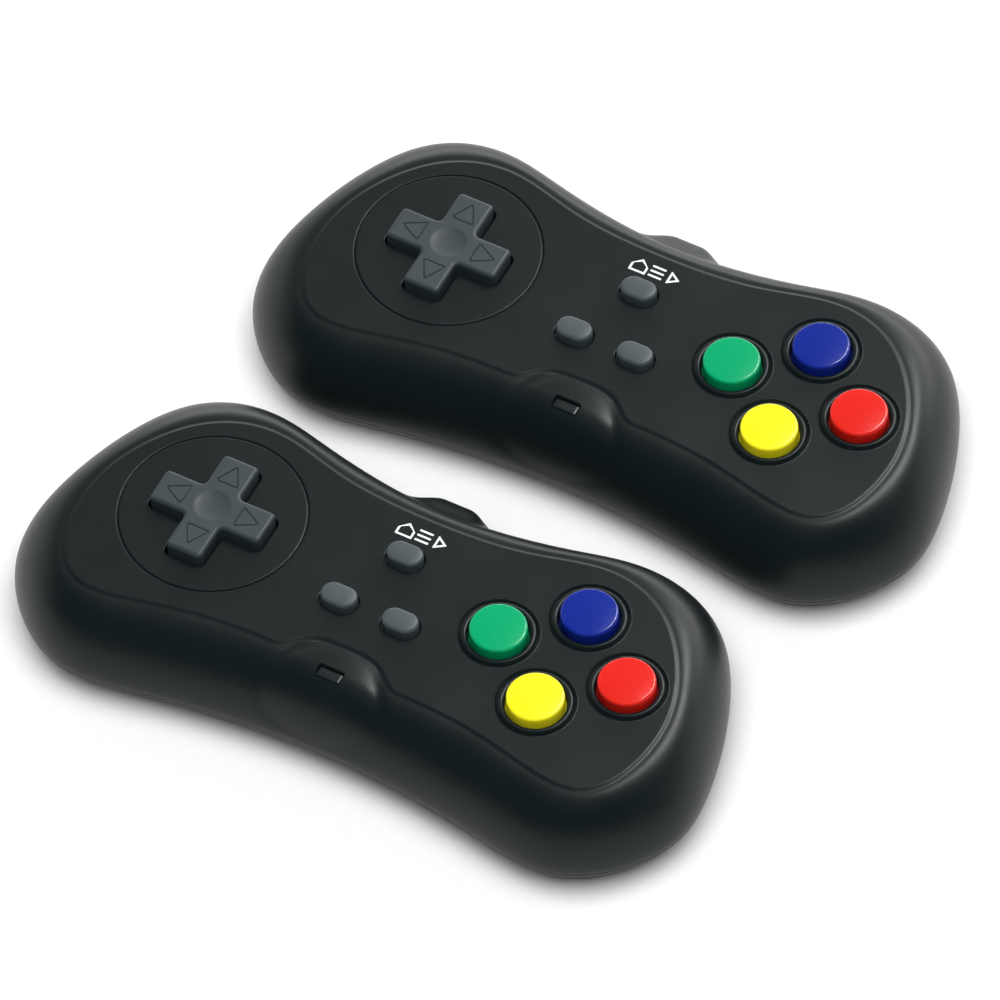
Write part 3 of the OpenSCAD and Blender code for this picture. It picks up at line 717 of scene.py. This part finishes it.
# %% Build the upper shell
COLLAR = [(8.22, 22.0), (8.08, 22.0), (7.98, 22.02), (7.88, 21.97), (7.76, 21.82), (7.62, 21.6),
          (7.5, 21.5), (7.38, 21.6), (7.24, 21.86), (7.1, 22.06), (6.92, 22.17), (6.68, 22.21),
          (6.42, 22.17), (6.18, 22.04), (6.02, 21.84), (5.93, 21.5), (5.9, 21.0), (5.9, SKIN_Z),
          (6.2, SKIN_Z)]
TURNED_GROOVE = [(18.85, 22.0), (18.58, 22.0), (18.5, 21.97), (18.43, 21.8), (18.3, 21.7),
                 (18.17, 21.8), (18.1, 21.97), (18.02, 22.0), (17.75, 22.0)]


def upper_shell():
    skin = Skin()
    rings = skin.rings(outer)
    lid = inset(face, 0.6 * WALL)
    wall_loop = inset(wide, WALL)
    inner = [(inset(seam_ring(SEAM_Z), WALL + 0.1), SEAM_Z)]
    for a in (90, 75, 60, 45, 30, 15, 0):
        turn = math.radians(a)
        inner.append((lid + (wall_loop - lid) * math.sin(turn),
                      SKIN_Z - (SKIN_Z - WIDE_Z) * (1 - math.cos(turn))))
    inner.append((inset(lid, 0.3), SKIN_Z))
    inside = skin.rings(inner)
    skin.strip(rings[-1], inside[0])

    groove = skin.lathe(-PAD_X, 0, TURNED_GROOVE, 160)
    drop = [(0.42, FACE_Z), *rounded_drop(0.18, FACE_Z, 0.0), (0.0, SKIN_Z + 0.05),
            (0.05, SKIN_Z), (0.3, SKIN_Z)]
    cross = skin.rings([(cross_path(PAD_GAP + out), z) for out, z in drop])
    collars = [skin.lathe(x, y, COLLAR, 96) for x, y in ACTIONS.values()]
    pills = [skin.rings([(pill_path(place, GAP + out), z) for out, z in drop])
             for place in PILLS.values()]

    skin.fill(rings[0], [groove[0], *[c[0] for c in collars], *[p[0] for p in pills]])
    skin.fill(groove[-1], [cross[0]])
    skin.fill(inside[-1], [cross[-1], *[c[-1] for c in collars], *[p[-1] for p in pills]])
    return skin.mesh("upper_shell")


upper = upper_shell()
print("upper shell faces:", len(upper.polygons))

# %% [markdown]
# ## Cutting the lamp pocket and the jack's hole
# Two cuts cross curved surfaces: the rectangular pocket in the lamp bridge and the
# round hole for the jack. A boolean is right here, because the surface round them is
# already fine enough that the cut adds no long slivers.

# %% Cut the pocket and the hole
WINDOW_L, WINDOW_W, WINDOW_Y = 5.3, 2.6, -23.03
JACK_Z, JACK_R = 10.5, 3.15


def carve(data, *cutters):
    """Cuts closed cutters out of a mesh and returns the new mesh."""
    body = bpy.data.objects.new("carve_body", data)
    scene.collection.objects.link(body)
    knives = []
    for cutter in cutters:
        knife = bpy.data.objects.new("carve_knife", cutter)
        scene.collection.objects.link(knife)
        knife.hide_render = True
        cut = body.modifiers.new("cut", "BOOLEAN")
        cut.operation, cut.solver, cut.object = "DIFFERENCE", "EXACT", knife
        knives.append(knife)
    bpy.context.view_layer.update()
    evaluated = body.evaluated_get(bpy.context.evaluated_depsgraph_get())
    result = bpy.data.meshes.new_from_object(evaluated)
    result.name = data.name + "_carved"
    for thing in (body, *knives):
        bpy.data.objects.remove(thing)
    return tidy_mesh(result, CRISP)


def pocket_cutter():
    """The pocket of the lamp window, wider at its mouth."""
    skin = Skin()
    pocket = [(0.25, 24), (0.25, 22.4), (0, 22.05), (0, 21.0)]
    skin.closed([(block(0, WINDOW_Y, WINDOW_L + 2 * out, WINDOW_W + 2 * out, 0.35 + out), z)
                 for out, z in pocket])
    return skin.mesh("pocket_cutter")


def lying_cylinder(profile, count=64):
    """A turned form that lies along +Y at the jack's height. Profile is (radius, y)."""
    skin = Skin()
    skin.lathe(0, 0, profile, count)
    skin.points = [(x, z, JACK_Z + y) for x, y, z in skin.points]
    return skin.mesh("turned")


jack_mouth = JACK_R + 0.3
jack_cutter = lying_cylinder([(0, 20), (JACK_R, 20), (JACK_R, 27.9), (jack_mouth, 28.25),
                              (jack_mouth, 30), (0, 30)])
upper = carve(upper, pocket_cutter(), jack_cutter)
print("upper shell after cutting:", len(upper.polygons), "faces")

# %% [markdown]
# ## Towers inside the upper shell
# Screw towers hang from the inner skin. They are plain turned tubes with a blind
# hole, set a little into the skin, as moulded towers are.

# %% Add the towers and show the shell
CASE_SCREWS = [(54.5, 12), (52, -17), (24, 11.5)]
BOARD_SCREWS = [(15.5, 14.5), (16.5, -20)]
TOWER_R, TOWER_TOP = 3, SKIN_Z + 0.5
CASE_TOWER = [(0, 16.9), (1.35, 16.9), (1.35, 6.2), (1.6, 6.0), (2.8, 6.0), (TOWER_R, 6.2),
              (TOWER_R, TOWER_TOP), (0, TOWER_TOP)]
BOARD_TOWER = [(0, 19.2), (1.05, 19.2), (1.05, 15.4), (2.25, 15.4), (2.4, 15.55),
               (2.4, TOWER_TOP), (0, TOWER_TOP)]


def both_hands(places):
    """Each place and its mirror image."""
    return [(side * x, y) for x, y in places for side in (1, -1)]


def towers():
    skin = Skin()
    for x, y in both_hands(CASE_SCREWS):
        skin.lathe(x, y, CASE_TOWER, 32)
    for x, y in both_hands(BOARD_SCREWS):
        skin.lathe(x, y, BOARD_TOWER, 32)
    return skin.mesh("towers")


def joined(*parts):
    """Several meshes as one, each part still closed."""
    work = bmesh.new()
    for part in parts:
        work.from_mesh(part)
    data = bpy.data.meshes.new(parts[0].name)
    work.to_mesh(data)
    work.free()
    return shade(data, CRISP)


show_twice(joined(upper, towers()), "top_shell", "case", case_abs, ["top_shell"])

# %% [markdown]
# ## Outlines under the case
# The battery door is a plate with a round tab for its screw. The same outline, grown
# by a gap, is the opening in the base, so the two can't drift apart.

# %% Shapes of the lower shell
BAY_Y, BAY_W, BAY_TOP = -4.0, 22.2, 12.85
DOOR_L, DOOR_W, TAB_X, TAB_R = 53.2, 24.4, 29.4, 4.2
LEDGE_Z, HOOD_Z = 1.85, 3.05
SWITCH_X, SWITCH_Y = 40.8, -2.0
SLOT_L, SLOT_W = 6.1, 2.8


def door_path(grow=0.0, corner=0.8):
    """The battery door's outline: a rectangle with a round screw tab on its right end."""
    l, w, r = DOOR_L / 2 + grow, DOOR_W / 2 + grow, TAB_R + grow
    corners = [(l, BAY_Y + w), (-l, BAY_Y + w), (-l, BAY_Y - w), (l, BAY_Y - w)]
    plate = rounded_path(corners, max(0.05, corner + grow))
    turns = np.linspace(-1, 1, 21) * math.acos(np.clip((l - TAB_X) / r, -1, 1))
    tab = np.column_stack([TAB_X + r * np.cos(turns), BAY_Y + r * np.sin(turns)])
    return np.vstack([plate, tab])


def bay_path(grow, radius):
    """The battery bay's outline, grown by a distance."""
    return block(0, BAY_Y, BAY_L + grow, BAY_W + grow, radius)


print("door outline points:", len(door_path()))

# %% [markdown]
# ## The lower shell
# The belly rolls under to a flat base with a deep opening for two cells, six screw
# wells and a slot for the power switch. The base and the floor are flat areas filled
# between rings, like the face. The wells cross the curved belly, so they are cut.

# %% Build the lower shell
def lower_shell():
    skin = Skin()
    rim = [(inset(seam_ring(SEAM_Z), SEAM_DEPTH), SEAM_Z - 0.005),
           (seam_ring(SEAM_Z - SEAM_GAP), SEAM_Z - SEAM_GAP)]
    start = math.asin((WIDE_Z - SEAM_Z + 0.4) / WIDE_Z)
    rim += [belly_ring(a) for a in np.linspace(start, math.pi / 2, 20)]
    rim += [(inset(wide, BELLY_IN + 0.3), 0.0)]
    outside = skin.rings(rim)
    inner = [(inset(seam_ring(SEAM_Z), WALL + 0.1), SEAM_Z - 0.005)]
    floor_loop = inset(wide, WALL)
    for a in np.linspace(math.radians(20), math.pi / 2, 8):
        inner.append((inset(floor_loop, (BELLY_IN - WALL) * (1 - math.cos(a))),
                      WIDE_Z - (WIDE_Z - WALL) * math.sin(a)))
    inner.append((inset(wide, BELLY_IN + 0.4), WALL))
    inside = skin.rings(inner)
    skin.strip(outside[0], inside[0])

    opening = [(0.55, 0), (0.3, 0), (0.18, 0.1), (0.15, 0.25), (0.15, LEDGE_Z - 0.05), (0.1, LEDGE_Z),
               (-0.15, LEDGE_Z)]
    door = skin.rings([(door_path(grow), z) for grow, z in opening])
    bay = skin.rings([(bay_path(0.5, 0.8), LEDGE_Z), (bay_path(0, 0.6), LEDGE_Z + 0.2),
                      (bay_path(0, 0.6), BAY_TOP - 0.2), (bay_path(-0.4, 0.5), BAY_TOP)])
    tab_hole = skin.lathe(TAB_X, BAY_Y, [(1.6, LEDGE_Z), (1.36, LEDGE_Z + 0.2), (1.36, HOOD_Z)], 32)
    skin.fill(door[-1], [bay[0], tab_hole[0]])
    skin.fill(bay[-1])
    slot = skin.rings([(block(SWITCH_X, SWITCH_Y, SLOT_L + 2 * g, SLOT_W + 2 * g, 0.3 + g), z)
                       for g, z in ((0.4, 0), (0.15, 0), (0, 0.15), (0, WALL))])
    skin.fill(outside[-1], [door[0], slot[0]])
    hood = skin.rings([(door_path(1.1), WALL), (door_path(1.1), HOOD_Z)])
    lid = skin.rings([(bay_path(2.4, 1), HOOD_Z), (bay_path(2.4, 1), BAY_TOP + 0.6)])
    skin.fill(inside[-1], [hood[0], slot[-1]])
    skin.fill(hood[-1], [lid[0], tab_hole[-1]])
    skin.fill(lid[-1])
    return skin.mesh("lower_shell")


WELL_R, SCREW_R = 2.55, 1.45


def well_cutters():
    skin = Skin()
    for x, y in both_hands(CASE_SCREWS):
        skin.lathe(x, y, [(0, -2), (WELL_R, -2), (WELL_R, 3.4), (0, 3.4)], 40)
    return skin.mesh("wells")


def wells():
    """The tubes round the six screws, the door screw's tube and the lip along the seam."""
    skin = Skin()
    tube = [(WELL_R, 1.5), (WELL_R, 4.2), (SCREW_R, 4.2), (SCREW_R, 5.98), (TOWER_R, 5.98),
            (TOWER_R, 1.5)]
    stacks = [skin.lathe(x, y, tube, 40) for x, y in both_hands(CASE_SCREWS)]
    stacks.append(skin.lathe(TAB_X, BAY_Y, [(1.36, 3.0), (1.36, 6.9), (3.1, 6.9), (3.1, 3.0)], 32))
    near, far = inset(wide, WALL + 0.15), inset(wide, WALL + 1.05)
    top = np.where((np.abs(wide[:, 0]) < 6) & (wide[:, 1] > 0), 6.8, 8.0)
    stacks.append(skin.rings([(near, 5.4), (near, top), (far, top), (far, 5.4)]))
    for rings in stacks:
        skin.strip(rings[-1], rings[0])
    return skin.mesh("wells_and_lip")


lower = carve(lower_shell(), well_cutters())
show_twice(joined(lower, wells()), "bottom_shell", "case", base_abs, ["bottom_shell"])

# %% [markdown]
# ## The battery door
# A plate with a softened edge, a row of moulded grip grooves for a thumb and a sunk
# seat for its screw. The grooves are real hollows, because bump alone would vanish
# in the exported shape.

# %% Build the battery door
def battery_door():
    skin = Skin()
    low, high = 0.2, 1.7
    body = skin.rings([(door_path(-0.55), low), (door_path(-0.3), low), (door_path(-0.08), low + 0.08),
                       (door_path(0), low + 0.3), (door_path(0), high), (door_path(-0.3), high)])
    grips = []
    for k in range(-3, 4):
        hollow = [(0.25, 0), (0.05, 0.02), (-0.15, 0.2), (-0.3, 0.42), (-0.42, 0.45)]
        rings = skin.rings([(block(-12.6, BAY_Y + 2 * k, 14 + 2 * g, 1.0 + 2 * g, max(0.04, 0.49 + g)),
                             low + z) for g, z in hollow])
        skin.fill(rings[-1])
        grips.append(rings[0])
    seat = skin.lathe(TAB_X, BAY_Y, [(3.0, low), (2.8, low), (WELL_R, low + 0.15), (WELL_R, low + 0.8),
                                     (SCREW_R, low + 0.8), (SCREW_R, high), (1.7, high)], 48)
    skin.fill(body[0], [*grips, seat[0]])
    skin.fill(body[-1], [seat[-1]])
    return skin.mesh("battery_door")


show_twice(battery_door(), "battery_door", "door", base_abs, ["battery_door"])

# %% [markdown]
# ## The direction pad
# One cross on a round plate, which rocks on a ball under its middle. The top edges are
# rounded, the middle is dished for the thumb, and each arm has an engraved triangle
# that points outward: a fine V-groove, cut into the mesh so that it stays in print.

# %% Build the direction pad
PAD_TOP = 24.7
PLATE_TOP, PLATE_LOW, PLATE_R = 18.58, 17.58, 13.4
ARROW_TIP, ARROW_FOOT, ARROW_HALF = 10.1, 5.7, 2.35
SOCKET_R = 1.55
QUARTER = np.linspace(0, math.pi / 2, 7)


def arrow_path(turn, offset):
    """A triangle on one arm. Offset moves its sides out or in."""
    side = math.hypot(ARROW_TIP - ARROW_FOOT, ARROW_HALF)
    inner_r = ARROW_HALF * (ARROW_TIP - ARROW_FOOT) / (ARROW_HALF + side)
    centre = np.array([ARROW_FOOT + inner_r, 0])
    scale = (inner_r + offset) / inner_r
    corners = ((ARROW_TIP, 0), (ARROW_FOOT, ARROW_HALF), (ARROW_FOOT, -ARROW_HALF))
    spots = [centre + scale * (np.array(c) - centre) for c in corners]
    path = rounded_path(spots, 0.28, steps=4)
    c, s = math.cos(turn), math.sin(turn)
    return path @ np.array([[c, s], [-s, c]]) + [-PAD_X, 0]


def direction_pad():
    skin = Skin()
    soft = 0.75
    sides = [(cross_path(0), PLATE_TOP), (cross_path(0), PAD_TOP - soft - 2)]
    sides += [(cross_path(-soft * (1 - math.cos(t))), PAD_TOP - soft * (1 - math.sin(t)))
              for t in QUARTER]
    sides += [(cross_path(-soft - 0.22), PAD_TOP)]
    cross = skin.rings(sides)
    arrows = []
    for k in range(4):
        groove = [(0.25, 0), (0.18, 0), (0.0, 0.24), (-0.18, 0), (-0.26, 0)]
        rings = skin.rings([(arrow_path(k * math.pi / 2, out), PAD_TOP - deep) for out, deep in groove])
        skin.fill(rings[-1])
        arrows.append(rings[0])
    dished = [(3.9, 0), (3.6, 0), (3.4, 0.04), (2.9, 0.15), (2.1, 0.26), (1.1, 0.33), (0, 0.35)]
    dish = skin.lathe(-PAD_X, 0, [(r, PAD_TOP - deep) for r, deep in dished], 72)
    skin.fill(cross[-1], [*arrows, dish[0]])
    plate = skin.lathe(-PAD_X, 0, [(PLATE_R - 0.3, PLATE_TOP), (PLATE_R, PLATE_TOP - 0.2),
                                   (PLATE_R, PLATE_LOW + 0.2), (PLATE_R - 0.3, PLATE_LOW)], 96)
    skin.fill(plate[0], [cross[0]])
    cup = [(2.7, PLATE_LOW), (2.7, 18.9), (1.5, 18.95)]
    cup += [(SOCKET_R * math.cos(t), BALL_Z + SOCKET_R * math.sin(t)) for t in QUARTER[1:-1]]
    socket = skin.lathe(-PAD_X, 0, [*cup, (0, BALL_Z + SOCKET_R)], 48)
    skin.fill(plate[-1], [socket[0]])
    return skin.mesh("direction_pad")


show_twice(direction_pad(), "dpad", "pad", pad_abs, ["dpad"])

# %% [markdown]
# ## The action buttons
# Four turned caps with straight sides, a small rounded edge and a slightly crowned
# top. Each has a collar under the face, which keeps it in the case, and a hollow for
# its rubber dome.

# %% Build the caps
KEY_LOW, KEY_COLLAR = 18.85, 20.05
HOLLOW_R, HOLLOW_TOP = 3.4, 19.95


def action_cap(colour, x, y):
    top, rim, crown = 24.4, 0.55, 0.32
    low = top - crown - rim
    profile = [(0, HOLLOW_TOP), (HOLLOW_R, HOLLOW_TOP), (HOLLOW_R, KEY_LOW), (7.0, KEY_LOW),
               (7.0, KEY_COLLAR), (CAP_R, KEY_COLLAR), (CAP_R, low - 1)]
    profile += [(CAP_R - rim + rim * math.cos(t), low + rim * math.sin(t)) for t in QUARTER]
    flat = CAP_R - rim
    profile += [(flat * s, low + rim + crown * (1 - s * s)) for s in (0.92, 0.8, 0.62, 0.42, 0.2)]
    profile += [(0, top)]
    skin = Skin()
    skin.lathe(x, y, profile, 128)
    return skin.mesh(f"{colour}_cap")


for colour, place in ACTIONS.items():
    show_twice(action_cap(colour, *place), f"button_{colour}", colour, cap_abs[colour],
               [f"button_{colour}"])

# %% [markdown]
# ## The menu buttons
# Three oblong keys with a soft rounded top edge and a barely crowned top.

# %% Build the menu buttons
def menu_key(place):
    skin = Skin()
    top, soft = 24.2, 0.7
    sides = [(pill_path(place, 0.8), KEY_LOW), (pill_path(place, 0.8), KEY_COLLAR),
             (pill_path(place), KEY_COLLAR), (pill_path(place), top - 2)]
    sides += [(pill_path(place, -soft * (1 - math.cos(t))), top - 0.12 - soft * (1 - math.sin(t)))
              for t in QUARTER]
    crown = ((1.1, 0.07), (1.5, 0.03), (1.9, 0.01), (2.2, 0.0))
    sides += [(pill_path(place, -g), top - h) for g, h in crown]
    skin.closed(sides)
    return skin.mesh("menu_key")


for key, place in PILLS.items():
    show_twice(menu_key(place), f"button_{key}", key, pill_abs, [f"button_{key}"])

# %% [markdown]
# ## The lamp window and the power switch knob
# The lamp shines through a small smoked plate in its pocket. The knob underneath has
# two grooves across it for a fingernail.

# %% Build the window and the knob
def lamp_window():
    skin = Skin()
    l, w, low, high = WINDOW_L - 0.36, WINDOW_W - 0.36, 20.95, 21.86
    sides = [(0, low), (0, high - 0.2), (-0.06, high - 0.06), (-0.2, high), (-0.45, high + 0.03)]
    skin.closed([(block(0, WINDOW_Y, l + 2 * g, w + 2 * g, max(0.05, 0.3 + g / 2)), z)
                 for g, z in sides])
    return skin.mesh("lamp_window")


def switch_knob():
    skin = Skin()
    x, low, high = SWITCH_X - 1.25, 0.4, 3.4
    sides = [(-0.35, low), (-0.12, low), (-0.03, low + 0.06), (0, low + 0.2), (0, high), (-0.3, high)]
    rings = skin.rings([(block(x, SWITCH_Y, 3 + 2 * g, 2.2 + 2 * g, 0.4 + g), z) for g, z in sides])
    nicks = []
    for shift in (-0.6, 0.6):
        hollow = ((0.08, 0), (0, 0.02), (-0.1, 0.3))
        nick = skin.rings([(block(x + shift, SWITCH_Y, 0.5 + 2 * g, 1.2 + 2 * g,
                                  max(0.03, 0.12 + g)), low + z) for g, z in hollow])
        skin.fill(nick[-1])
        nicks.append(nick[0])
    skin.fill(rings[0], nicks)
    skin.fill(rings[-1])
    return skin.mesh("switch_knob")


show_twice(lamp_window(), "led_window", "case", lamp_window_pc, ["led_window"])
show_twice(switch_knob(), "power_slider", "switch_knob", knob_pom,
           ["power_slider"])

# %% [markdown]
# ## White ink
# Pad printing lays down a film of about 0.02 mm with tiny pinholes, where the grey of
# the plastic shows through.

# %% White ink
IOR_INK = 1.5
PINHOLE_MM = 0.35


def pad_printed_ink():
    finish, tree, shader, place = new_finish("pad_printed_white_ink")
    pinholes = add_node(tree, "TexNoise", {"Vector": place, "Scale": 1000 / PINHOLE_MM,
                                           "Detail": 2.0})
    cover = add_node(tree, "MapRange", {"Value": pinholes.outputs["Fac"], "From Min": 0.25,
                                        "From Max": 0.4})
    colour = add_node(tree, "Mix", {"Factor": cover.outputs[0], "A": linear("#B9BDBE"),
                                    "B": linear("#F4F6F6")}, data_type="RGBA")
    set_inputs(tree, shader, {"Roughness": 0.5, "IOR": IOR_INK,
                              "Base Color": colour.outputs["Result"]})
    return finish


white_ink = pad_printed_ink()
print("ink:", white_ink.name)

# %% [markdown]
# ## Printed signs
# Behind the menu key a line of plain signs is printed: a house for the start page,
# bars for a list and a triangle for play. Each is a thin closed plate, so that it
# stays in the exported shape.

# %% Print the signs
def printed_signs():
    skin = Skin()
    low, high, x, y = FACE_Z - 0.03, FACE_Z + 0.02, 0.4, 13.4

    def stamp(path, *holes):
        stacks = [skin.rings([(np.array(p) + (x, y), low), (np.array(p) + (x, y), high)])
                  for p in (path, *holes)]
        for level in (0, -1):
            skin.fill(stacks[0][level], [stack[level] for stack in stacks[1:]])

    def house(g):
        return [(-5.2 + g, 0.1 + g / 3), (-3.4, 1.75 - 1.4 * g), (-1.6 - g, 0.1 + g / 3),
                (-1.6 - g, -1.6 + g), (-5.2 + g, -1.6 + g)]

    stamp(rounded_path(house(0), 0.12, steps=3), rounded_path(house(0.45), 0.05, steps=3))
    for k in (-1, 0, 1):
        stamp(block(0.4, 1.15 * k, 2.9, 0.46, 0.12))
    stamp(rounded_path([(2.9, 1.6), (2.9, -1.6), (5.3, 0)], 0.12, steps=4),
          rounded_path([(3.35, 0.8), (3.35, -0.8), (4.5, 0)], 0.05, steps=4))
    return skin.mesh("printed_signs")


show_twice(printed_signs(), "menu_signs", "case", white_ink)

# %% [markdown]
# ## Finishes for the parts that stay as CAD made them
# Screws, springs, board and key sheets already have their true shape, so each CAD
# node keeps its mesh and only gets its finish.

# %% Finish the CAD nodes
inner_finishes = {
    "dpad_pivot": ball_steel, "dpad_post": post_pom, "dpad_membrane": key_silicone,
    "action_membrane": key_silicone, "menu_membrane": key_silicone, "contact_pills": contact_carbon,
    "main_board": board_finish, "board_chips": chip_epoxy, "crystal": can_steel,
    "status_led": lamp_epoxy, "av_jack": jack_pbt, "power_switch": can_steel,
    "battery_cells": cell_film, "battery_contacts": nickel_steel, "case_screws": zinc_steel,
    "board_screws": zinc_steel, "door_screw": zinc_steel,
}
for unit in UNITS:
    for piece, finish in inner_finishes.items():
        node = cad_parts[f"{unit}_{piece}"]
        node.data.materials.clear()
        node.data.materials.append(finish)
given = set(inner_finishes.values())
bare = [name for name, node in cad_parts.items()
        if not node.hide_render and node.data.materials[0] not in given]
print("CAD nodes finished:", len(UNITS) * len(inner_finishes), "left bare:", bare)

# %% [markdown]
# ## Floor
# A wide sheet of white paper carries the handsets. Paper is nearly fully matte.

# %% Floor
FIBRE_MM = 4.0


def pale_sheet():
    finish, tree, shader, place = new_finish("pale_paper_sheet")
    fibre = add_node(tree, "TexNoise", {"Vector": place, "Scale": 1000 / FIBRE_MM, "Detail": 4.0})
    colour = add_node(tree, "Mix", {"Factor": fibre.outputs["Fac"], "A": linear("#F6F6F5"),
                                    "B": linear("#FBFBFA")}, data_type="RGBA")
    set_inputs(tree, shader, {"Roughness": 0.9, "Specular IOR Level": 0.1,
                              "Base Color": colour.outputs["Result"]})
    return finish


SHEET = 4.0
floor_data = bpy.data.meshes.new("floor")
corners = [(-SHEET, -SHEET, 0), (SHEET, -SHEET, 0), (SHEET, SHEET, 0), (-SHEET, SHEET, 0)]
floor_data.from_pydata(corners, [], [(0, 1, 2, 3)])
floor_data.materials.append(pale_sheet())
floor = bpy.data.objects.new("floor", floor_data)
scene.collection.objects.link(floor)
floor.location = (0, 0, -0.00005)
print("floor finish:", floor_data.materials[0].name)

# %% [markdown]
# ## Light
# Black plastic is lit by what it mirrors. The sky is dim overhead, so the plastic
# stays dark, and bright low down at the back, which draws the line along the far
# shoulders. A box behind adds to that line. A long strip on the right draws the strip
# along the end; it is used for reflections only. The overhead box does the opposite:
# it stands for polarised light, which lights colours without a mirror image.

# %% Lights
sky = bpy.data.worlds.new("studio_sky")
sky.use_nodes = True
scene.world = sky
sky_tree = sky.node_tree
ray = add_node(sky_tree, "TexCoord").outputs["Generated"]
height = add_node(sky_tree, "SeparateXYZ", {"Vector": ray}).outputs["Z"]
low_band = add_node(sky_tree, "MapRange", {"Value": height, "From Min": 0.05, "From Max": 0.6,
                                           "To Min": 1.0, "To Max": 0.14})
behind = add_node(sky_tree, "VectorMath", {0: ray, 1: (-0.3, 0.95, 0.0)}, operation="DOT_PRODUCT")
back_wall = add_node(sky_tree, "MapRange", {"Value": behind.outputs["Value"], "From Min": -0.3,
                                            "From Max": 0.5, "To Min": 0.06, "To Max": 1.5})
glow = add_node(sky_tree, "Math", {0: low_band.outputs[0], 1: back_wall.outputs[0]},
                operation="MULTIPLY")
sky_tree.links.new(glow.outputs[0], sky_tree.nodes["Background"].inputs["Strength"])
sky_tree.nodes["Background"].inputs["Color"].default_value = (1, 1, 1, 1)


def soft_box(name, spot, aim, size, power):
    """A rectangular area light, in metres and watts, that points at aim."""
    lamp = bpy.data.lights.new(name, "AREA")
    lamp.shape, lamp.energy = "RECTANGLE", power
    lamp.size, lamp.size_y = size
    light = bpy.data.objects.new(name, lamp)
    scene.collection.objects.link(light)
    light.location = spot
    light.rotation_euler = (Vector(aim) - Vector(spot)).to_track_quat("-Z", "Y").to_euler()
    light.visible_camera = False
    return light


soft_box("back_box", (-0.2, 1.5, 0.35), (0, 0, 0), (2.2, 0.5), 12)
strip = soft_box("right_box", (0.25, 0.9, 1.25), (0.05, 0, 0), (0.22, 1.0), 22)
strip.visible_diffuse = False
overhead = soft_box("top_box", (0.2, -0.3, 1.7), (0, 0, 0), (1.6, 1.6), 38)
overhead.visible_glossy = False

# %% [markdown]
# ## Camera
# A long lens from above and in front, a little over half way up, turned so that the
# handsets run down to the right. It is set by where it looks, how far off it
# stands, and three angles, which is how a photographer would note it.

# %% Camera
AIM = Vector((0.4, -1.3, 11)) * MM
DISTANCE, ELEVATION, TURN, ROLL = 2.3071, 53.84, -30.14, -2.58
SENSOR_MM, LENS_MM = 36, 432
lens = bpy.data.cameras.new("camera")
lens.sensor_width, lens.lens = SENSOR_MM, LENS_MM
lens.clip_start, lens.clip_end = 0.05, 20
camera = bpy.data.objects.new("camera", lens)
scene.collection.objects.link(camera)
turn, rise = math.radians(TURN), math.radians(ELEVATION)
ahead = Vector((math.sin(turn) * math.cos(rise), math.cos(turn) * math.cos(rise), -math.sin(rise)))
camera.location = AIM - ahead * DISTANCE
level = ahead.to_track_quat("-Z", "Y").to_matrix()
camera.rotation_euler = (level @ Matrix.Rotation(math.radians(ROLL), 3, "Z")).to_euler()
scene.camera = camera
scene.view_settings.view_transform = "Standard"
print("camera at mm:", [round(v / MM) for v in camera.location])
